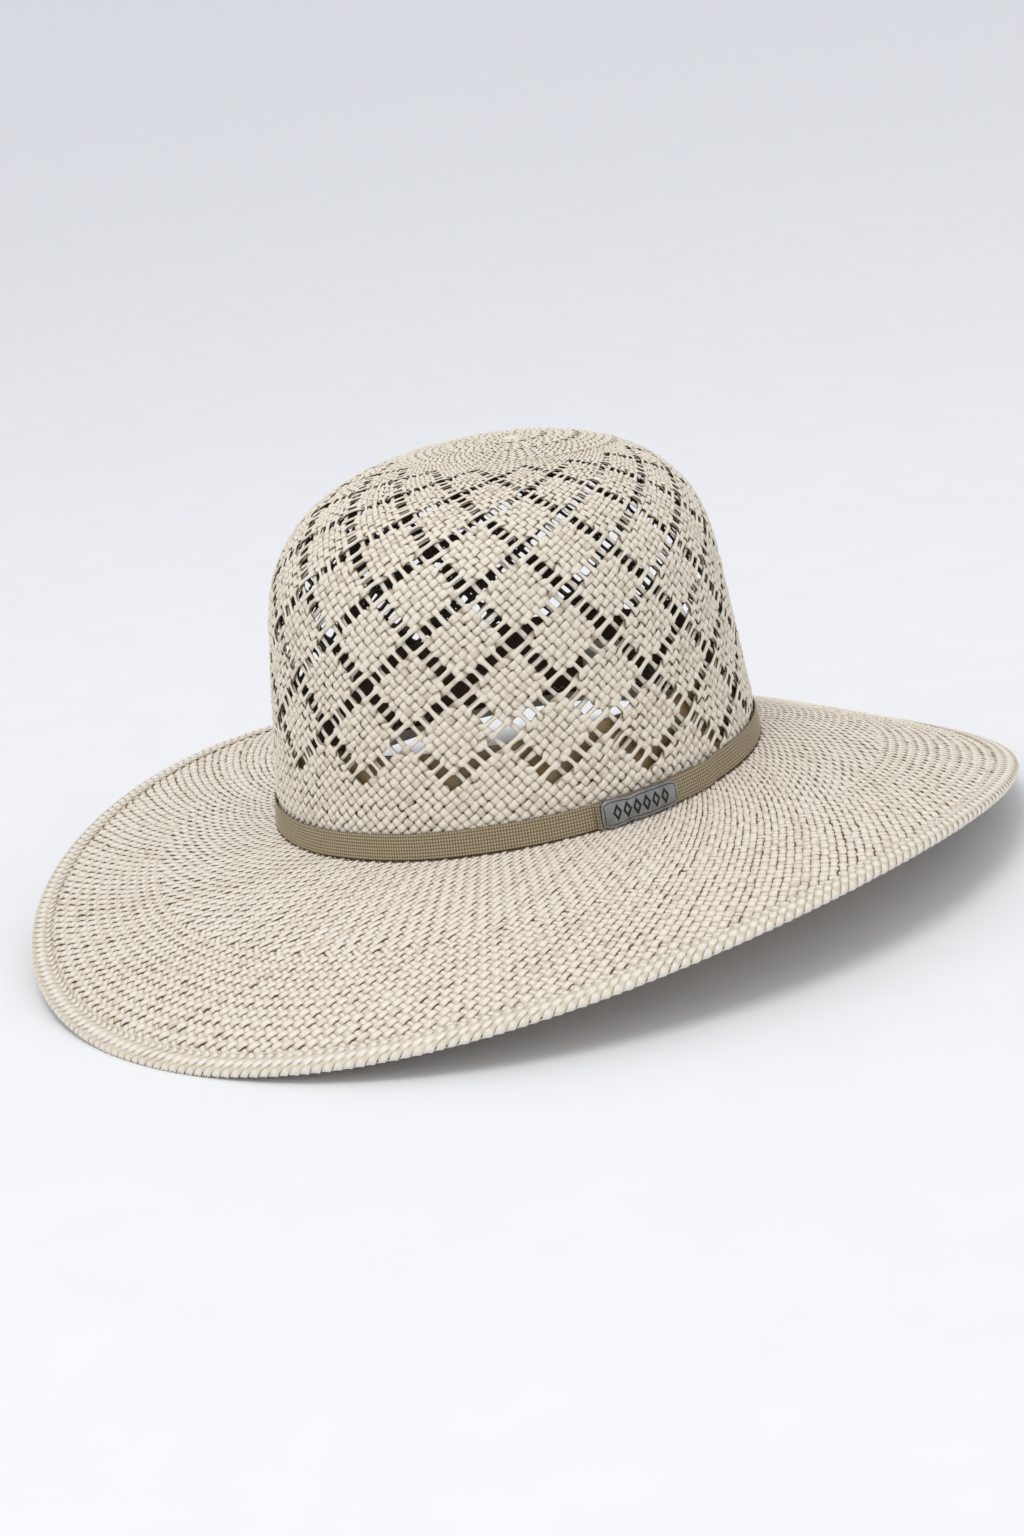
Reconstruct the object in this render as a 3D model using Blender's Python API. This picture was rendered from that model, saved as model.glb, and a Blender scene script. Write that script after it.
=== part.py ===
"""Open-crown straw hat with a wide brim, as the separate pieces it is sewn together from.

Metres, +Z up. The hat stands on the front and back of its brim on the plane z = 0.
The front of the hat faces -Y and the wearer's left is +X.
"""

import math

import bmesh
import bpy
from mathutils import Vector

# Driving dimensions
CROWN_HALF_WIDTH = 0.0847  # outside of the crown at the band, centre to side
CROWN_HALF_LENGTH = 0.1033  # outside of the crown at the band, centre to front
CROWN_HEIGHT = 0.1277  # above the band line, which is the band's lower edge
CROWN_TAPER = 0.151  # share of its half size that the crown's side loses over its height
SHOULDER_HEIGHT = 0.0698  # where the side turns into the dome
DOME_POWER = 2.73  # 2 is an ellipse, more is squarer
BRIM_WIDTH = 0.0988  # mean of all round
BRIM_WIDTH_WAVE = 0.0022  # added at the front and back, taken off at the sides
BRIM_DROP = 0.0268  # mean fall of the brim from the band line to its edge
BRIM_DROP_WAVE = 0.0151  # added at the front and back, taken off at the sides
BRIM_STRAIGHTNESS = 0.75  # share of the fall that is straight, the rest grows with the square
BAND_HEIGHT = 0.0096
STRAW_THICKNESS = 0.0012  # of the crown's weave
GAP = 0.0003  # clearance between pieces that touch

# Derived places
EDGE_STAND = 0.0003  # of the brim's outer rim at the front, so that the fold under it is pressed flat
BAND_LINE_Z = BRIM_DROP + BRIM_DROP_WAVE + EDGE_STAND
ROUND_STEPS = 60

# The brim's inner rim turns up inside the crown as a collar, on a small round
COLLAR_HEIGHT = 0.012
BRIM_THICKNESS = 0.001
COLLAR_OFFSET = -STRAW_THICKNESS - GAP - BRIM_THICKNESS / 2
TURN_RADIUS = 0.003
TURN_CENTRE_OFFSET = COLLAR_OFFSET + TURN_RADIUS
TURN_CENTRE_HEIGHT = 0.0022
BRIM_ROOT_HEIGHT = TURN_CENTRE_HEIGHT - TURN_RADIUS

# The folded edge and the wire inside it, measured inwards from the brim's outer rim
FOLD_THICKNESS = 0.0008
FOLD_REACH = 0.0075
WIRE_RADIUS = 0.0006
FOLD_INNER_RADIUS = WIRE_RADIUS + GAP
FOLD_OUTER_RADIUS = FOLD_INNER_RADIUS + FOLD_THICKNESS
FOLD_CENTRE = -FOLD_OUTER_RADIUS
PANEL_END = FOLD_CENTRE - WIRE_RADIUS - GAP

# The hatband, from the crown outwards
RIBBON_THICKNESS = 0.0005
RIBBON_OFFSET = 0.00065
RIBBON_BOTTOM = 0.0003
CLIP_THICKNESS = 0.0003
CLIP_OFFSET = RIBBON_OFFSET + RIBBON_THICKNESS / 2 + GAP + CLIP_THICKNESS / 2
OVERLAP_OFFSET = CLIP_OFFSET + CLIP_THICKNESS / 2 + GAP + RIBBON_THICKNESS / 2
PLAQUE_BACK = OVERLAP_OFFSET + RIBBON_THICKNESS / 2 + GAP
PLAQUE_THICKNESS = 0.001
PLAQUE_DOME = 0.0003
PLAQUE_START = math.radians(66)
PLAQUE_END = math.radians(85)
PLAQUE_MIDDLE_HEIGHT = RIBBON_BOTTOM + BAND_HEIGHT / 2
RIVET_RADIUS = 0.0007
RIVET_HOLE_RADIUS = 0.0011
RIVET_SHARES = (0.24, 0.78)  # places of the two rivets along the plaque
PLAQUE_BEVEL = 0.00025
PLAQUE_HALF_HEIGHT = 0.0054  # at the front lobe
PLAQUE_NARROWING = 0.0007  # lost by the rear end
WAIST_DEPTH = 0.0006
WAIST_SHARE = 0.36  # place of the waist along the plaque
WAIST_SPREAD = 0.09
END_ROUND_SHARE = 0.13  # part of the length that each round end takes
END_BLUNTNESS = 0.45  # height left at the very ends
CLIP_HALF_HEIGHT = 0.0028

# The ribbon is wound from behind the plaque, round the rear, over its own start and on to the plaque
RIBBON_END = PLAQUE_START - math.radians(0.8)
RIBBON_START = PLAQUE_END + math.radians(7.5)
CLIMB_LENGTH = math.radians(5.5)  # stretch in which it climbs onto its own start
CLIMB_MARGIN = math.radians(2.5)  # between the end of the climb and the start under it
RIBBON_STEPS = 90
TACK_LENGTH = 0.0016

# The sweatband, from the collar inwards
TAPE_THICKNESS = 0.0003
TAPE_OFFSET = COLLAR_OFFSET - BRIM_THICKNESS / 2 - GAP - TAPE_THICKNESS / 2
REED_RADIUS = 0.0009
TAPE_TURN_RADIUS = REED_RADIUS + GAP + TAPE_THICKNESS / 2
REED_OFFSET = TAPE_OFFSET - TAPE_TURN_RADIUS
REED_HEIGHT = -0.0006
TAPE_TOP = 0.005
TAPE_INNER_TOP = 0.0025
LEATHER_THICKNESS = 0.0009
LEATHER_OFFSET = TAPE_OFFSET - TAPE_THICKNESS / 2 - GAP - LEATHER_THICKNESS / 2
LEATHER_BOTTOM = 0.001
LEATHER_TOP = 0.037
LEATHER_INNER_FACE = LEATHER_OFFSET - LEATHER_THICKNESS / 2
THREAD_RADIUS = 0.00015
ZIGZAG_HEIGHT = 0.0045
ZIGZAG_REACH = 0.0008
REAR = math.pi
JOINT_HALF_GAP = math.radians(0.15)  # half of the slit between the leather's two ends
PATCH_THICKNESS = 0.0006
PATCH_HALF_WIDTH = math.radians(2.6)
PATCH_OFFSET = LEATHER_INNER_FACE - 2 * GAP - 2 * THREAD_RADIUS - PATCH_THICKNESS / 2
LABEL_THICKNESS = 0.00025
LABEL_START = math.radians(198)
LABEL_WIDTH = math.radians(12)

# The bow on the rear joint
BOW_HEIGHT = 0.011
BOW_RIBBON_WIDTH = 0.005
BOW_RIBBON_THICKNESS = 0.0004
BOW_STAND = 0.0022  # its centre in front of the patch's middle
BOW_LOOP_START = 0.0022
BOW_LOOP_HALF_LENGTH = 0.0052
BOW_LOOP_HALF_DEPTH = 0.0013
BOW_KNOT = (0.0032, 0.0030, 0.0056)
BOW_KNOT_BEVEL = 0.0007

STRAW = ((0.80, 0.75, 0.65), 0.6, 0.0)
EDGE_STRAW = ((0.84, 0.79, 0.69), 0.6, 0.0)
THREAD = ((0.78, 0.73, 0.63), 0.7, 0.0)
RIBBON = ((0.30, 0.25, 0.18), 0.8, 0.0)
STEEL = ((0.42, 0.44, 0.47), 0.3, 1.0)
WIRE_STEEL = ((0.55, 0.55, 0.55), 0.35, 1.0)
LEATHER = ((0.42, 0.27, 0.15), 0.55, 0.0)
PATCH_LEATHER = ((0.36, 0.22, 0.12), 0.55, 0.0)
TAPE = ((0.62, 0.56, 0.45), 0.8, 0.0)
REED_PLASTIC = ((0.75, 0.73, 0.68), 0.4, 0.0)
SATIN = ((0.20, 0.16, 0.12), 0.5, 0.0)
LABEL = ((0.86, 0.84, 0.80), 0.7, 0.0)


# ---------------------------------------------------------------- the hat's form


def oval_point(angle, offset, height):
    """The point at this angle from the front, this far outside the crown's side, above the band line."""
    scale = 1 - CROWN_TAPER * max(height, 0.0) / CROWN_HEIGHT
    across = CROWN_HALF_WIDTH * scale + offset
    along = CROWN_HALF_LENGTH * scale + offset
    return Vector((across * math.sin(angle), -along * math.cos(angle), BAND_LINE_Z + height))


def brim_reach(angle):
    return BRIM_WIDTH + BRIM_WIDTH_WAVE * math.cos(2 * angle)


def brim_point(angle, offset, lift=0.0):
    """The point on the brim's middle surface, or lifted square to it."""
    drop = BRIM_DROP + BRIM_DROP_WAVE * math.cos(2 * angle) + BRIM_ROOT_HEIGHT
    reach = brim_reach(angle) - TURN_CENTRE_OFFSET
    share = (offset - TURN_CENTRE_OFFSET) / reach
    fall = drop * (BRIM_STRAIGHTNESS * share + (1 - BRIM_STRAIGHTNESS) * share**2)
    slope = drop * (BRIM_STRAIGHTNESS + 2 * (1 - BRIM_STRAIGHTNESS) * share) / reach
    square = math.hypot(1, slope)
    outwards = offset + lift * slope / square
    return oval_point(angle, outwards, BRIM_ROOT_HEIGHT - fall + lift / square)


def arc(centre_offset, centre_height, radius, first, last, steps):
    """Points (offset, height) on an arc, with its angles in degrees from the outward direction."""
    points = []
    for step in range(steps + 1):
        turn = math.radians(first + (last - first) * step / steps)
        place = (centre_offset + radius * math.cos(turn), centre_height + radius * math.sin(turn))
        points.append(place)
    return points


def round_angles(steps=ROUND_STEPS):
    return [2 * math.pi * step / steps for step in range(steps)]


# ---------------------------------------------------------------- building blocks


def clear_scene():
    for obj in list(bpy.data.objects):
        bpy.data.objects.remove(obj, do_unlink=True)


def paint(obj, look):
    colour, roughness, metallic = look
    material = bpy.data.materials.new(obj.name)
    material.use_nodes = True
    shader = material.node_tree.nodes["Principled BSDF"]
    shader.inputs["Base Color"].default_value = (*colour, 1)
    shader.inputs["Roughness"].default_value = roughness
    shader.inputs["Metallic"].default_value = metallic
    obj.data.materials.append(material)


def mesh_object(name, rows, look, closed_round=True, closed_profile=False, capped=False):
    """Joins rows of points into a sheet or, where the profile is closed, into a ring or a capped bar."""
    shape = bmesh.new()
    grid = [[shape.verts.new(point) for point in row] for row in rows]
    row_pairs = len(grid) if closed_round else len(grid) - 1
    points = len(grid[0])
    point_pairs = points if closed_profile else points - 1
    for i in range(row_pairs):
        near, far = grid[i], grid[(i + 1) % len(grid)]
        for j in range(point_pairs):
            k = (j + 1) % points
            shape.faces.new((near[j], near[k], far[k], far[j]))
    if capped:
        shape.faces.new(list(reversed(grid[0])))
        shape.faces.new(grid[-1])
    bmesh.ops.recalc_face_normals(shape, faces=shape.faces)
    return finish_mesh(name, shape, look)


def finish_mesh(name, shape, look):
    mesh = bpy.data.meshes.new(name)
    shape.to_mesh(mesh)
    shape.free()
    mesh.shade_smooth()
    mesh.set_sharp_from_angle(angle=math.radians(40))
    obj = bpy.data.objects.new(name, mesh)
    bpy.context.scene.collection.objects.link(obj)
    paint(obj, look)
    return obj


def thicken(obj, thickness):
    """Gives a sheet its thickness, half to each side."""
    modifier = obj.modifiers.new("Thickness", "SOLIDIFY")
    modifier.thickness = thickness
    modifier.offset = 0
    modifier.use_even_offset = True
    return obj


def band(name, profile, thickness, look, angles=None):
    """A strip that follows the oval, from (offset, height) points. With its own angles, it has two ends."""
    closed = angles is None
    rows = []
    for angle in angles or round_angles():
        rows.append([oval_point(angle, offset, height) for offset, height in profile])
    return thicken(mesh_object(name, rows, look, closed_round=closed), thickness)


def thread(name, points, radius, look, closed=True, sides=0):
    """A round thread, wire or cane through the points."""
    curve = bpy.data.curves.new(name, "CURVE")
    curve.dimensions = "3D"
    curve.bevel_depth = radius
    curve.bevel_resolution = sides
    curve.use_fill_caps = not closed
    spline = curve.splines.new("POLY")
    spline.points.add(len(points) - 1)
    for slot, point in zip(spline.points, points):
        slot.co = (*point, 1)
    spline.use_cyclic_u = closed
    obj = bpy.data.objects.new(name, curve)
    bpy.context.scene.collection.objects.link(obj)
    paint(obj, look)
    return obj


# ---------------------------------------------------------------- straw body


def crown_row(share, height, inwards):
    """One oval row of the crown: the share of the band's size that is left at this height."""
    row = []
    for angle in round_angles():
        across = (CROWN_HALF_WIDTH - inwards) * share
        along = (CROWN_HALF_LENGTH - inwards) * share
        row.append(Vector((across * math.sin(angle), -along * math.cos(angle), BAND_LINE_Z + height)))
    return row


def crown_surface(shape, inwards):
    """Adds the crown's outer or inner surface, and returns its lowest row of vertices."""
    rows = []
    top = CROWN_HEIGHT - inwards
    for height in (0.0015, 0.012, 0.031, 0.050, SHOULDER_HEIGHT):
        rows.append(crown_row(1 - CROWN_TAPER * height / CROWN_HEIGHT, height, inwards))
    for turn in (16, 31, 44, 56, 67, 76, 84):
        rise = math.sin(math.radians(turn)) ** (2 / DOME_POWER)
        spread = math.cos(math.radians(turn)) ** (2 / DOME_POWER)
        height = SHOULDER_HEIGHT + (top - SHOULDER_HEIGHT) * rise
        rows.append(crown_row(spread * (1 - CROWN_TAPER * height / CROWN_HEIGHT), height, inwards))
    grid = [[shape.verts.new(point) for point in row] for row in rows]
    pole = shape.verts.new((0, 0, BAND_LINE_Z + top))
    for low, high in zip(grid, grid[1:]):
        for i in range(ROUND_STEPS):
            k = (i + 1) % ROUND_STEPS
            shape.faces.new((low[i], low[k], high[k], high[i]))
    for i in range(ROUND_STEPS):
        shape.faces.new((grid[-1][i], grid[-1][(i + 1) % ROUND_STEPS], pole))
    return grid[0]


def make_crown():
    shape = bmesh.new()
    outer = crown_surface(shape, 0.0)
    inner = crown_surface(shape, STRAW_THICKNESS)
    for i in range(ROUND_STEPS):
        k = (i + 1) % ROUND_STEPS
        shape.faces.new((outer[i], inner[i], inner[k], outer[k]))
    bmesh.ops.recalc_face_normals(shape, faces=shape.faces)
    finish_mesh("crown", shape, STRAW)


def make_brim():
    """The brim with its collar: up inside the crown, round the turn and out to the wire."""
    collar = [(COLLAR_OFFSET, COLLAR_HEIGHT), (COLLAR_OFFSET, 0.007)]
    turn = arc(TURN_CENTRE_OFFSET, TURN_CENTRE_HEIGHT, TURN_RADIUS, 180, 270, 4)
    rows = []
    for angle in round_angles():
        row = [oval_point(angle, offset, height) for offset, height in collar + turn]
        end = brim_reach(angle) + PANEL_END
        for share in (0.15, 0.38, 0.62, 0.85, 1.0):
            row.append(brim_point(angle, TURN_CENTRE_OFFSET + (end - TURN_CENTRE_OFFSET) * share))
        rows.append(row)
    thicken(mesh_object("brim", rows, STRAW), BRIM_THICKNESS)


def make_brim_edge_wire():
    points = [brim_point(angle, brim_reach(angle) + FOLD_CENTRE) for angle in round_angles()]
    thread("brim_edge_wire", points, WIRE_RADIUS, WIRE_STEEL, sides=1)


def make_brim_edge_fold():
    """The folded edge: a U that holds the wire and the brim's rim. It is pressed flat where it stands."""
    inner_end = FOLD_CENTRE - (FOLD_REACH - FOLD_OUTER_RADIUS)
    outside = [(inner_end, -FOLD_OUTER_RADIUS)]
    outside += arc(FOLD_CENTRE, 0, FOLD_OUTER_RADIUS, -90, 90, 7)
    outside += [(inner_end, FOLD_OUTER_RADIUS)]
    inside = [(inner_end, FOLD_INNER_RADIUS)]
    inside += arc(FOLD_CENTRE, 0, FOLD_INNER_RADIUS, 90, -90, 5)
    inside += [(inner_end, -FOLD_INNER_RADIUS)]
    rows = []
    for angle in round_angles():
        reach = brim_reach(angle)
        row = [brim_point(angle, reach + offset, lift) for offset, lift in outside + inside]
        for point in row:
            point.z = max(point.z, 0.0)
        rows.append(row)
    mesh_object("brim_edge_fold", rows, EDGE_STRAW, closed_profile=True)


def make_brim_edge_stitching():
    """One lock-stitch line that holds the fold, on the brim just inside it."""
    height = STRAW_THICKNESS / 2 + GAP + THREAD_RADIUS
    points = []
    for angle in round_angles(2 * ROUND_STEPS):
        points.append(brim_point(angle, brim_reach(angle) - FOLD_REACH - GAP - 2 * THREAD_RADIUS, height))
    thread("brim_edge_stitching", points, THREAD_RADIUS, THREAD)


def make_crown_seam_stitching():
    """The thread that joins the crown to the brim's collar, seen on the collar's inner face."""
    offset = COLLAR_OFFSET - BRIM_THICKNESS / 2 - GAP - THREAD_RADIUS
    height = (TAPE_TOP + COLLAR_HEIGHT) / 2
    points = [oval_point(angle, offset, height) for angle in round_angles()]
    thread("crown_seam_stitching", points, THREAD_RADIUS, THREAD)


# ---------------------------------------------------------------- hatband


def along_plaque(share):
    return PLAQUE_START + (PLAQUE_END - PLAQUE_START) * share


def rivet_cutters():
    """Round cutters through the ribbon's upper layer and the clip plate behind it."""
    cutters = []
    for share in RIVET_SHARES:
        angle = along_plaque(share)
        near = oval_point(angle, CLIP_OFFSET - CLIP_THICKNESS - GAP / 2, PLAQUE_MIDDLE_HEIGHT)
        far = oval_point(angle, PLAQUE_BACK + GAP, PLAQUE_MIDDLE_HEIGHT)
        cutters.append(cylinder("rivet_hole_cutter", near, far, RIVET_HOLE_RADIUS))
    return cutters


def cylinder(name, start, end, radius, sides=12):
    """A closed cylinder between two points, kept as a hidden shape for a Boolean."""
    shape = bmesh.new()
    length = (end - start).length
    bmesh.ops.create_cone(
        shape, cap_ends=True, segments=sides, radius1=radius, radius2=radius, depth=length
    )
    mesh = bpy.data.meshes.new(name)
    shape.to_mesh(mesh)
    shape.free()
    obj = bpy.data.objects.new(name, mesh)
    bpy.context.scene.collection.objects.link(obj)
    obj.location = (start + end) / 2
    obj.rotation_mode = "QUATERNION"
    obj.rotation_quaternion = (end - start).to_track_quat("Z", "Y")
    obj.hide_render = True
    obj.display_type = "WIRE"
    return obj


def combine(obj, other, operation):
    modifier = obj.modifiers.new(operation.capitalize(), "BOOLEAN")
    modifier.object = other
    modifier.operation = operation


def make_hatband(cutters):
    """One length of ribbon, once round the crown and on over its own start, behind the plaque."""
    length = 2 * math.pi + RIBBON_START - RIBBON_END
    climb_end = 2 * math.pi - CLIMB_MARGIN
    climb_start = climb_end - CLIMB_LENGTH
    rows = []
    for step in range(RIBBON_STEPS + 1):
        travelled = length * step / RIBBON_STEPS
        angle = RIBBON_START - travelled
        rise = min(max((travelled - climb_start) / CLIMB_LENGTH, 0.0), 1.0)
        smooth = rise * rise * (3 - 2 * rise)
        offset = RIBBON_OFFSET + (OVERLAP_OFFSET - RIBBON_OFFSET) * smooth
        heights = (RIBBON_BOTTOM, RIBBON_BOTTOM + BAND_HEIGHT)
        rows.append([oval_point(angle, offset, height) for height in heights])
    ribbon = mesh_object("hatband_ribbon", rows, RIBBON, closed_round=False)
    thicken(ribbon, RIBBON_THICKNESS)
    for cutter in cutters:
        combine(ribbon, cutter, "DIFFERENCE")


def make_plaque_clip(cutters):
    """The thin plate behind the ribbon's upper layer that the plaque's rivets are spread over."""
    angles = [along_plaque(0.12 + 0.78 * step / 8) for step in range(9)]
    heights = (PLAQUE_MIDDLE_HEIGHT - CLIP_HALF_HEIGHT, PLAQUE_MIDDLE_HEIGHT + CLIP_HALF_HEIGHT)
    profile = [(CLIP_OFFSET, height) for height in heights]
    clip = band("plaque_clip_plate", profile, CLIP_THICKNESS, WIRE_STEEL, angles)
    for cutter in cutters:
        combine(clip, cutter, "DIFFERENCE")


def plaque_half_height(share):
    """Half of the plaque's height along it: a round front lobe, a slight waist, then a long bar."""
    end_round = min(share, 1 - share) / END_ROUND_SHARE
    rounding = math.sqrt(max(1 - (1 - min(end_round, 1.0)) ** 2, 0.0))
    lobe = PLAQUE_HALF_HEIGHT - PLAQUE_NARROWING * share
    waist = WAIST_DEPTH * math.exp(-(((share - WAIST_SHARE) / WAIST_SPREAD) ** 2))
    return (lobe - waist) * (END_BLUNTNESS + (1 - END_BLUNTNESS) * rounding)


def plaque_section(share):
    angle = along_plaque(share)
    half = plaque_half_height(share)
    front = PLAQUE_BACK + PLAQUE_THICKNESS
    places = (
        (PLAQUE_BACK, -half),
        (front - PLAQUE_BEVEL, -half),
        (front, PLAQUE_BEVEL - half),
        (front + PLAQUE_DOME, 0.0),
        (front, half - PLAQUE_BEVEL),
        (front - PLAQUE_BEVEL, half),
        (PLAQUE_BACK, half),
    )
    return [oval_point(angle, offset, PLAQUE_MIDDLE_HEIGHT + rise) for offset, rise in places]


def make_plaque():
    """The curved metal plaque, with the two short rivets on its back."""
    shares = [0, 0.02, 0.05, 0.09, 0.14, 0.2, 0.26, 0.31, 0.36, 0.41, 0.47, 0.55, 0.64, 0.73]
    shares += [0.81, 0.87, 0.91, 0.95, 0.98, 1]
    rows = [plaque_section(share) for share in shares]
    plaque = mesh_object("plaque", rows, STEEL, closed_round=False, closed_profile=True, capped=True)
    for share in RIVET_SHARES:
        angle = along_plaque(share)
        tip = oval_point(angle, CLIP_OFFSET - CLIP_THICKNESS / 2, PLAQUE_MIDDLE_HEIGHT)
        root = oval_point(angle, PLAQUE_BACK + PLAQUE_THICKNESS / 2, PLAQUE_MIDDLE_HEIGHT)
        combine(plaque, cylinder("plaque_rivet_shape", tip, root, RIVET_RADIUS), "UNION")


def make_ribbon_tack(name, angle):
    """A small stitch hooked over the ribbon's upper edge."""
    outside = RIBBON_OFFSET + RIBBON_THICKNESS / 2 + GAP + THREAD_RADIUS
    top = RIBBON_BOTTOM + BAND_HEIGHT
    places = (
        (outside, top - TACK_LENGTH),
        (outside, top - TACK_LENGTH / 4),
        (outside - THREAD_RADIUS, top + GAP),
        (RIBBON_OFFSET + THREAD_RADIUS, top + GAP + 2 * THREAD_RADIUS),
    )
    points = [oval_point(angle, offset, height) for offset, height in places]
    thread(name, points, THREAD_RADIUS, RIBBON, closed=False)


# ---------------------------------------------------------------- sweatband


def make_sweatband():
    """A leather strip round the inside, with its two ends meeting at the rear."""
    first = REAR + JOINT_HALF_GAP
    length = 2 * math.pi - 2 * JOINT_HALF_GAP
    angles = [first + length * step / ROUND_STEPS for step in range(ROUND_STEPS + 1)]
    heights = (LEATHER_BOTTOM, 0.012, 0.024, LEATHER_TOP)
    profile = [(LEATHER_OFFSET, height) for height in heights]
    band("sweatband", profile, LEATHER_THICKNESS, LEATHER, angles)


def make_sweatband_reed():
    points = [oval_point(angle, REED_OFFSET, REED_HEIGHT) for angle in round_angles()]
    thread("sweatband_reed", points, REED_RADIUS, REED_PLASTIC, sides=1)


def make_reed_tape():
    """The cloth tape that wraps the reed: up the collar on one side and up the leather on the other."""
    profile = [(TAPE_OFFSET, TAPE_TOP)]
    profile += arc(REED_OFFSET, REED_HEIGHT, TAPE_TURN_RADIUS, 0, -180, 5)
    profile += [(REED_OFFSET - TAPE_TURN_RADIUS, TAPE_INNER_TOP)]
    band("reed_tape", profile, TAPE_THICKNESS, TAPE)


def make_sweatband_stitching():
    """A zigzag seam low on the leather."""
    offset = LEATHER_INNER_FACE - GAP - THREAD_RADIUS
    points = []
    for step, angle in enumerate(round_angles(2 * ROUND_STEPS)):
        height = ZIGZAG_HEIGHT + (ZIGZAG_REACH if step % 2 else -ZIGZAG_REACH)
        points.append(oval_point(angle, offset, height))
    thread("sweatband_stitching", points, THREAD_RADIUS, THREAD)


def make_rear_patch():
    """The leather cover over the sweatband's rear joint."""
    angles = [REAR + PATCH_HALF_WIDTH * (step / 2 - 1) for step in range(5)]
    profile = [(PATCH_OFFSET, height) for height in (0.0035, 0.014, 0.025, 0.0355)]
    band("sweatband_rear_patch", profile, PATCH_THICKNESS, PATCH_LEATHER, angles)


def bow_loop_points(side):
    """Points (along, inwards) of one teardrop loop of the bow, seen from below."""
    points = []
    for step in range(14):
        turn = 2 * math.pi * step / 14
        swell = (1 - math.cos(turn)) / 2
        along = side * (BOW_LOOP_START + 2 * BOW_LOOP_HALF_LENGTH * swell)
        inwards = BOW_LOOP_HALF_DEPTH * math.sin(turn) * (0.35 + 0.65 * swell)
        points.append((along, inwards))
    return points


def rear_place(along, inwards, height):
    """A point on the rear of the sweatband: along the band, inwards from the patch and up."""
    return oval_point(REAR, PATCH_OFFSET - inwards, height) + Vector((along, 0, 0))


def make_bow_loop(name, side):
    rows = []
    for along, inwards in bow_loop_points(side):
        heights = (BOW_HEIGHT - BOW_RIBBON_WIDTH / 2, BOW_HEIGHT + BOW_RIBBON_WIDTH / 2)
        rows.append([rear_place(along, BOW_STAND + inwards, height) for height in heights])
    thicken(mesh_object(name, rows, SATIN), BOW_RIBBON_THICKNESS)


def make_bow_knot():
    """The bow's knot: a small rounded block between the two loops."""
    shape = bmesh.new()
    bmesh.ops.create_cube(shape, size=1.0)
    bmesh.ops.scale(shape, vec=Vector(BOW_KNOT), verts=shape.verts)
    bmesh.ops.bevel(
        shape, geom=list(shape.edges), offset=BOW_KNOT_BEVEL, segments=2, profile=0.5, affect="EDGES"
    )
    centre = rear_place(0, BOW_STAND, BOW_HEIGHT)
    bmesh.ops.translate(shape, vec=centre, verts=shape.verts)
    finish_mesh("rear_bow_knot", shape, SATIN)


def make_size_label():
    """A small blank label on the leather, left of the rear joint."""
    angles = [LABEL_START + LABEL_WIDTH * step / 5 for step in range(6)]
    offset = LEATHER_INNER_FACE - GAP - LABEL_THICKNESS / 2
    profile = [(offset, height) for height in (0.012, 0.024)]
    band("size_label", profile, LABEL_THICKNESS, LABEL, angles)


def build():
    clear_scene()
    make_crown()
    make_brim()
    make_brim_edge_wire()
    make_brim_edge_fold()
    make_brim_edge_stitching()
    make_crown_seam_stitching()
    cutters = rivet_cutters()
    make_hatband(cutters)
    make_plaque_clip(cutters)
    make_plaque()
    make_ribbon_tack("ribbon_tack_rear_left", math.radians(155))
    make_ribbon_tack("ribbon_tack_rear_right", math.radians(205))
    make_ribbon_tack("ribbon_tack_right", math.radians(280))
    make_sweatband()
    make_sweatband_reed()
    make_reed_tape()
    make_sweatband_stitching()
    make_rear_patch()
    make_bow_loop("rear_bow_left_loop", 1)
    make_bow_loop("rear_bow_right_loop", -1)
    make_bow_knot()
    make_size_label()


build()
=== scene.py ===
"""Looks of the woven straw hat: every strand of the weave, ribbon, plaque, sweatband and trim."""

import math

import bpy
import numpy as np
from mathutils import Matrix, Vector


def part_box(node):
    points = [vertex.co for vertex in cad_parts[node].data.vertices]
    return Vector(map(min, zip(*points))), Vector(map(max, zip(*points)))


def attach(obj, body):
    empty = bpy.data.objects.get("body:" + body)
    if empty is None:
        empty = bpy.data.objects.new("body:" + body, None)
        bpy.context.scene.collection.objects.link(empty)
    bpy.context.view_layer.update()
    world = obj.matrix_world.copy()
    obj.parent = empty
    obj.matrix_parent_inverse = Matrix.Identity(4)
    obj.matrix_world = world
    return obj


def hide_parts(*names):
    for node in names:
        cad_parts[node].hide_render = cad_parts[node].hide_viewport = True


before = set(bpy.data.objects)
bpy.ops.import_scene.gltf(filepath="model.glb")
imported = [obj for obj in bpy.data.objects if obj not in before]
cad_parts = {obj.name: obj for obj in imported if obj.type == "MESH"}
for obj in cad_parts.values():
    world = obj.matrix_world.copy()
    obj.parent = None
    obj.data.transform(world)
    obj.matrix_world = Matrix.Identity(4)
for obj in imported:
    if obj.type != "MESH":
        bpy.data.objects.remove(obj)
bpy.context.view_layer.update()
RANDOM = np.random.default_rng(7)  # every random draw comes from here, in one order

# ---- the hat's form, as in the CAD

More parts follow.
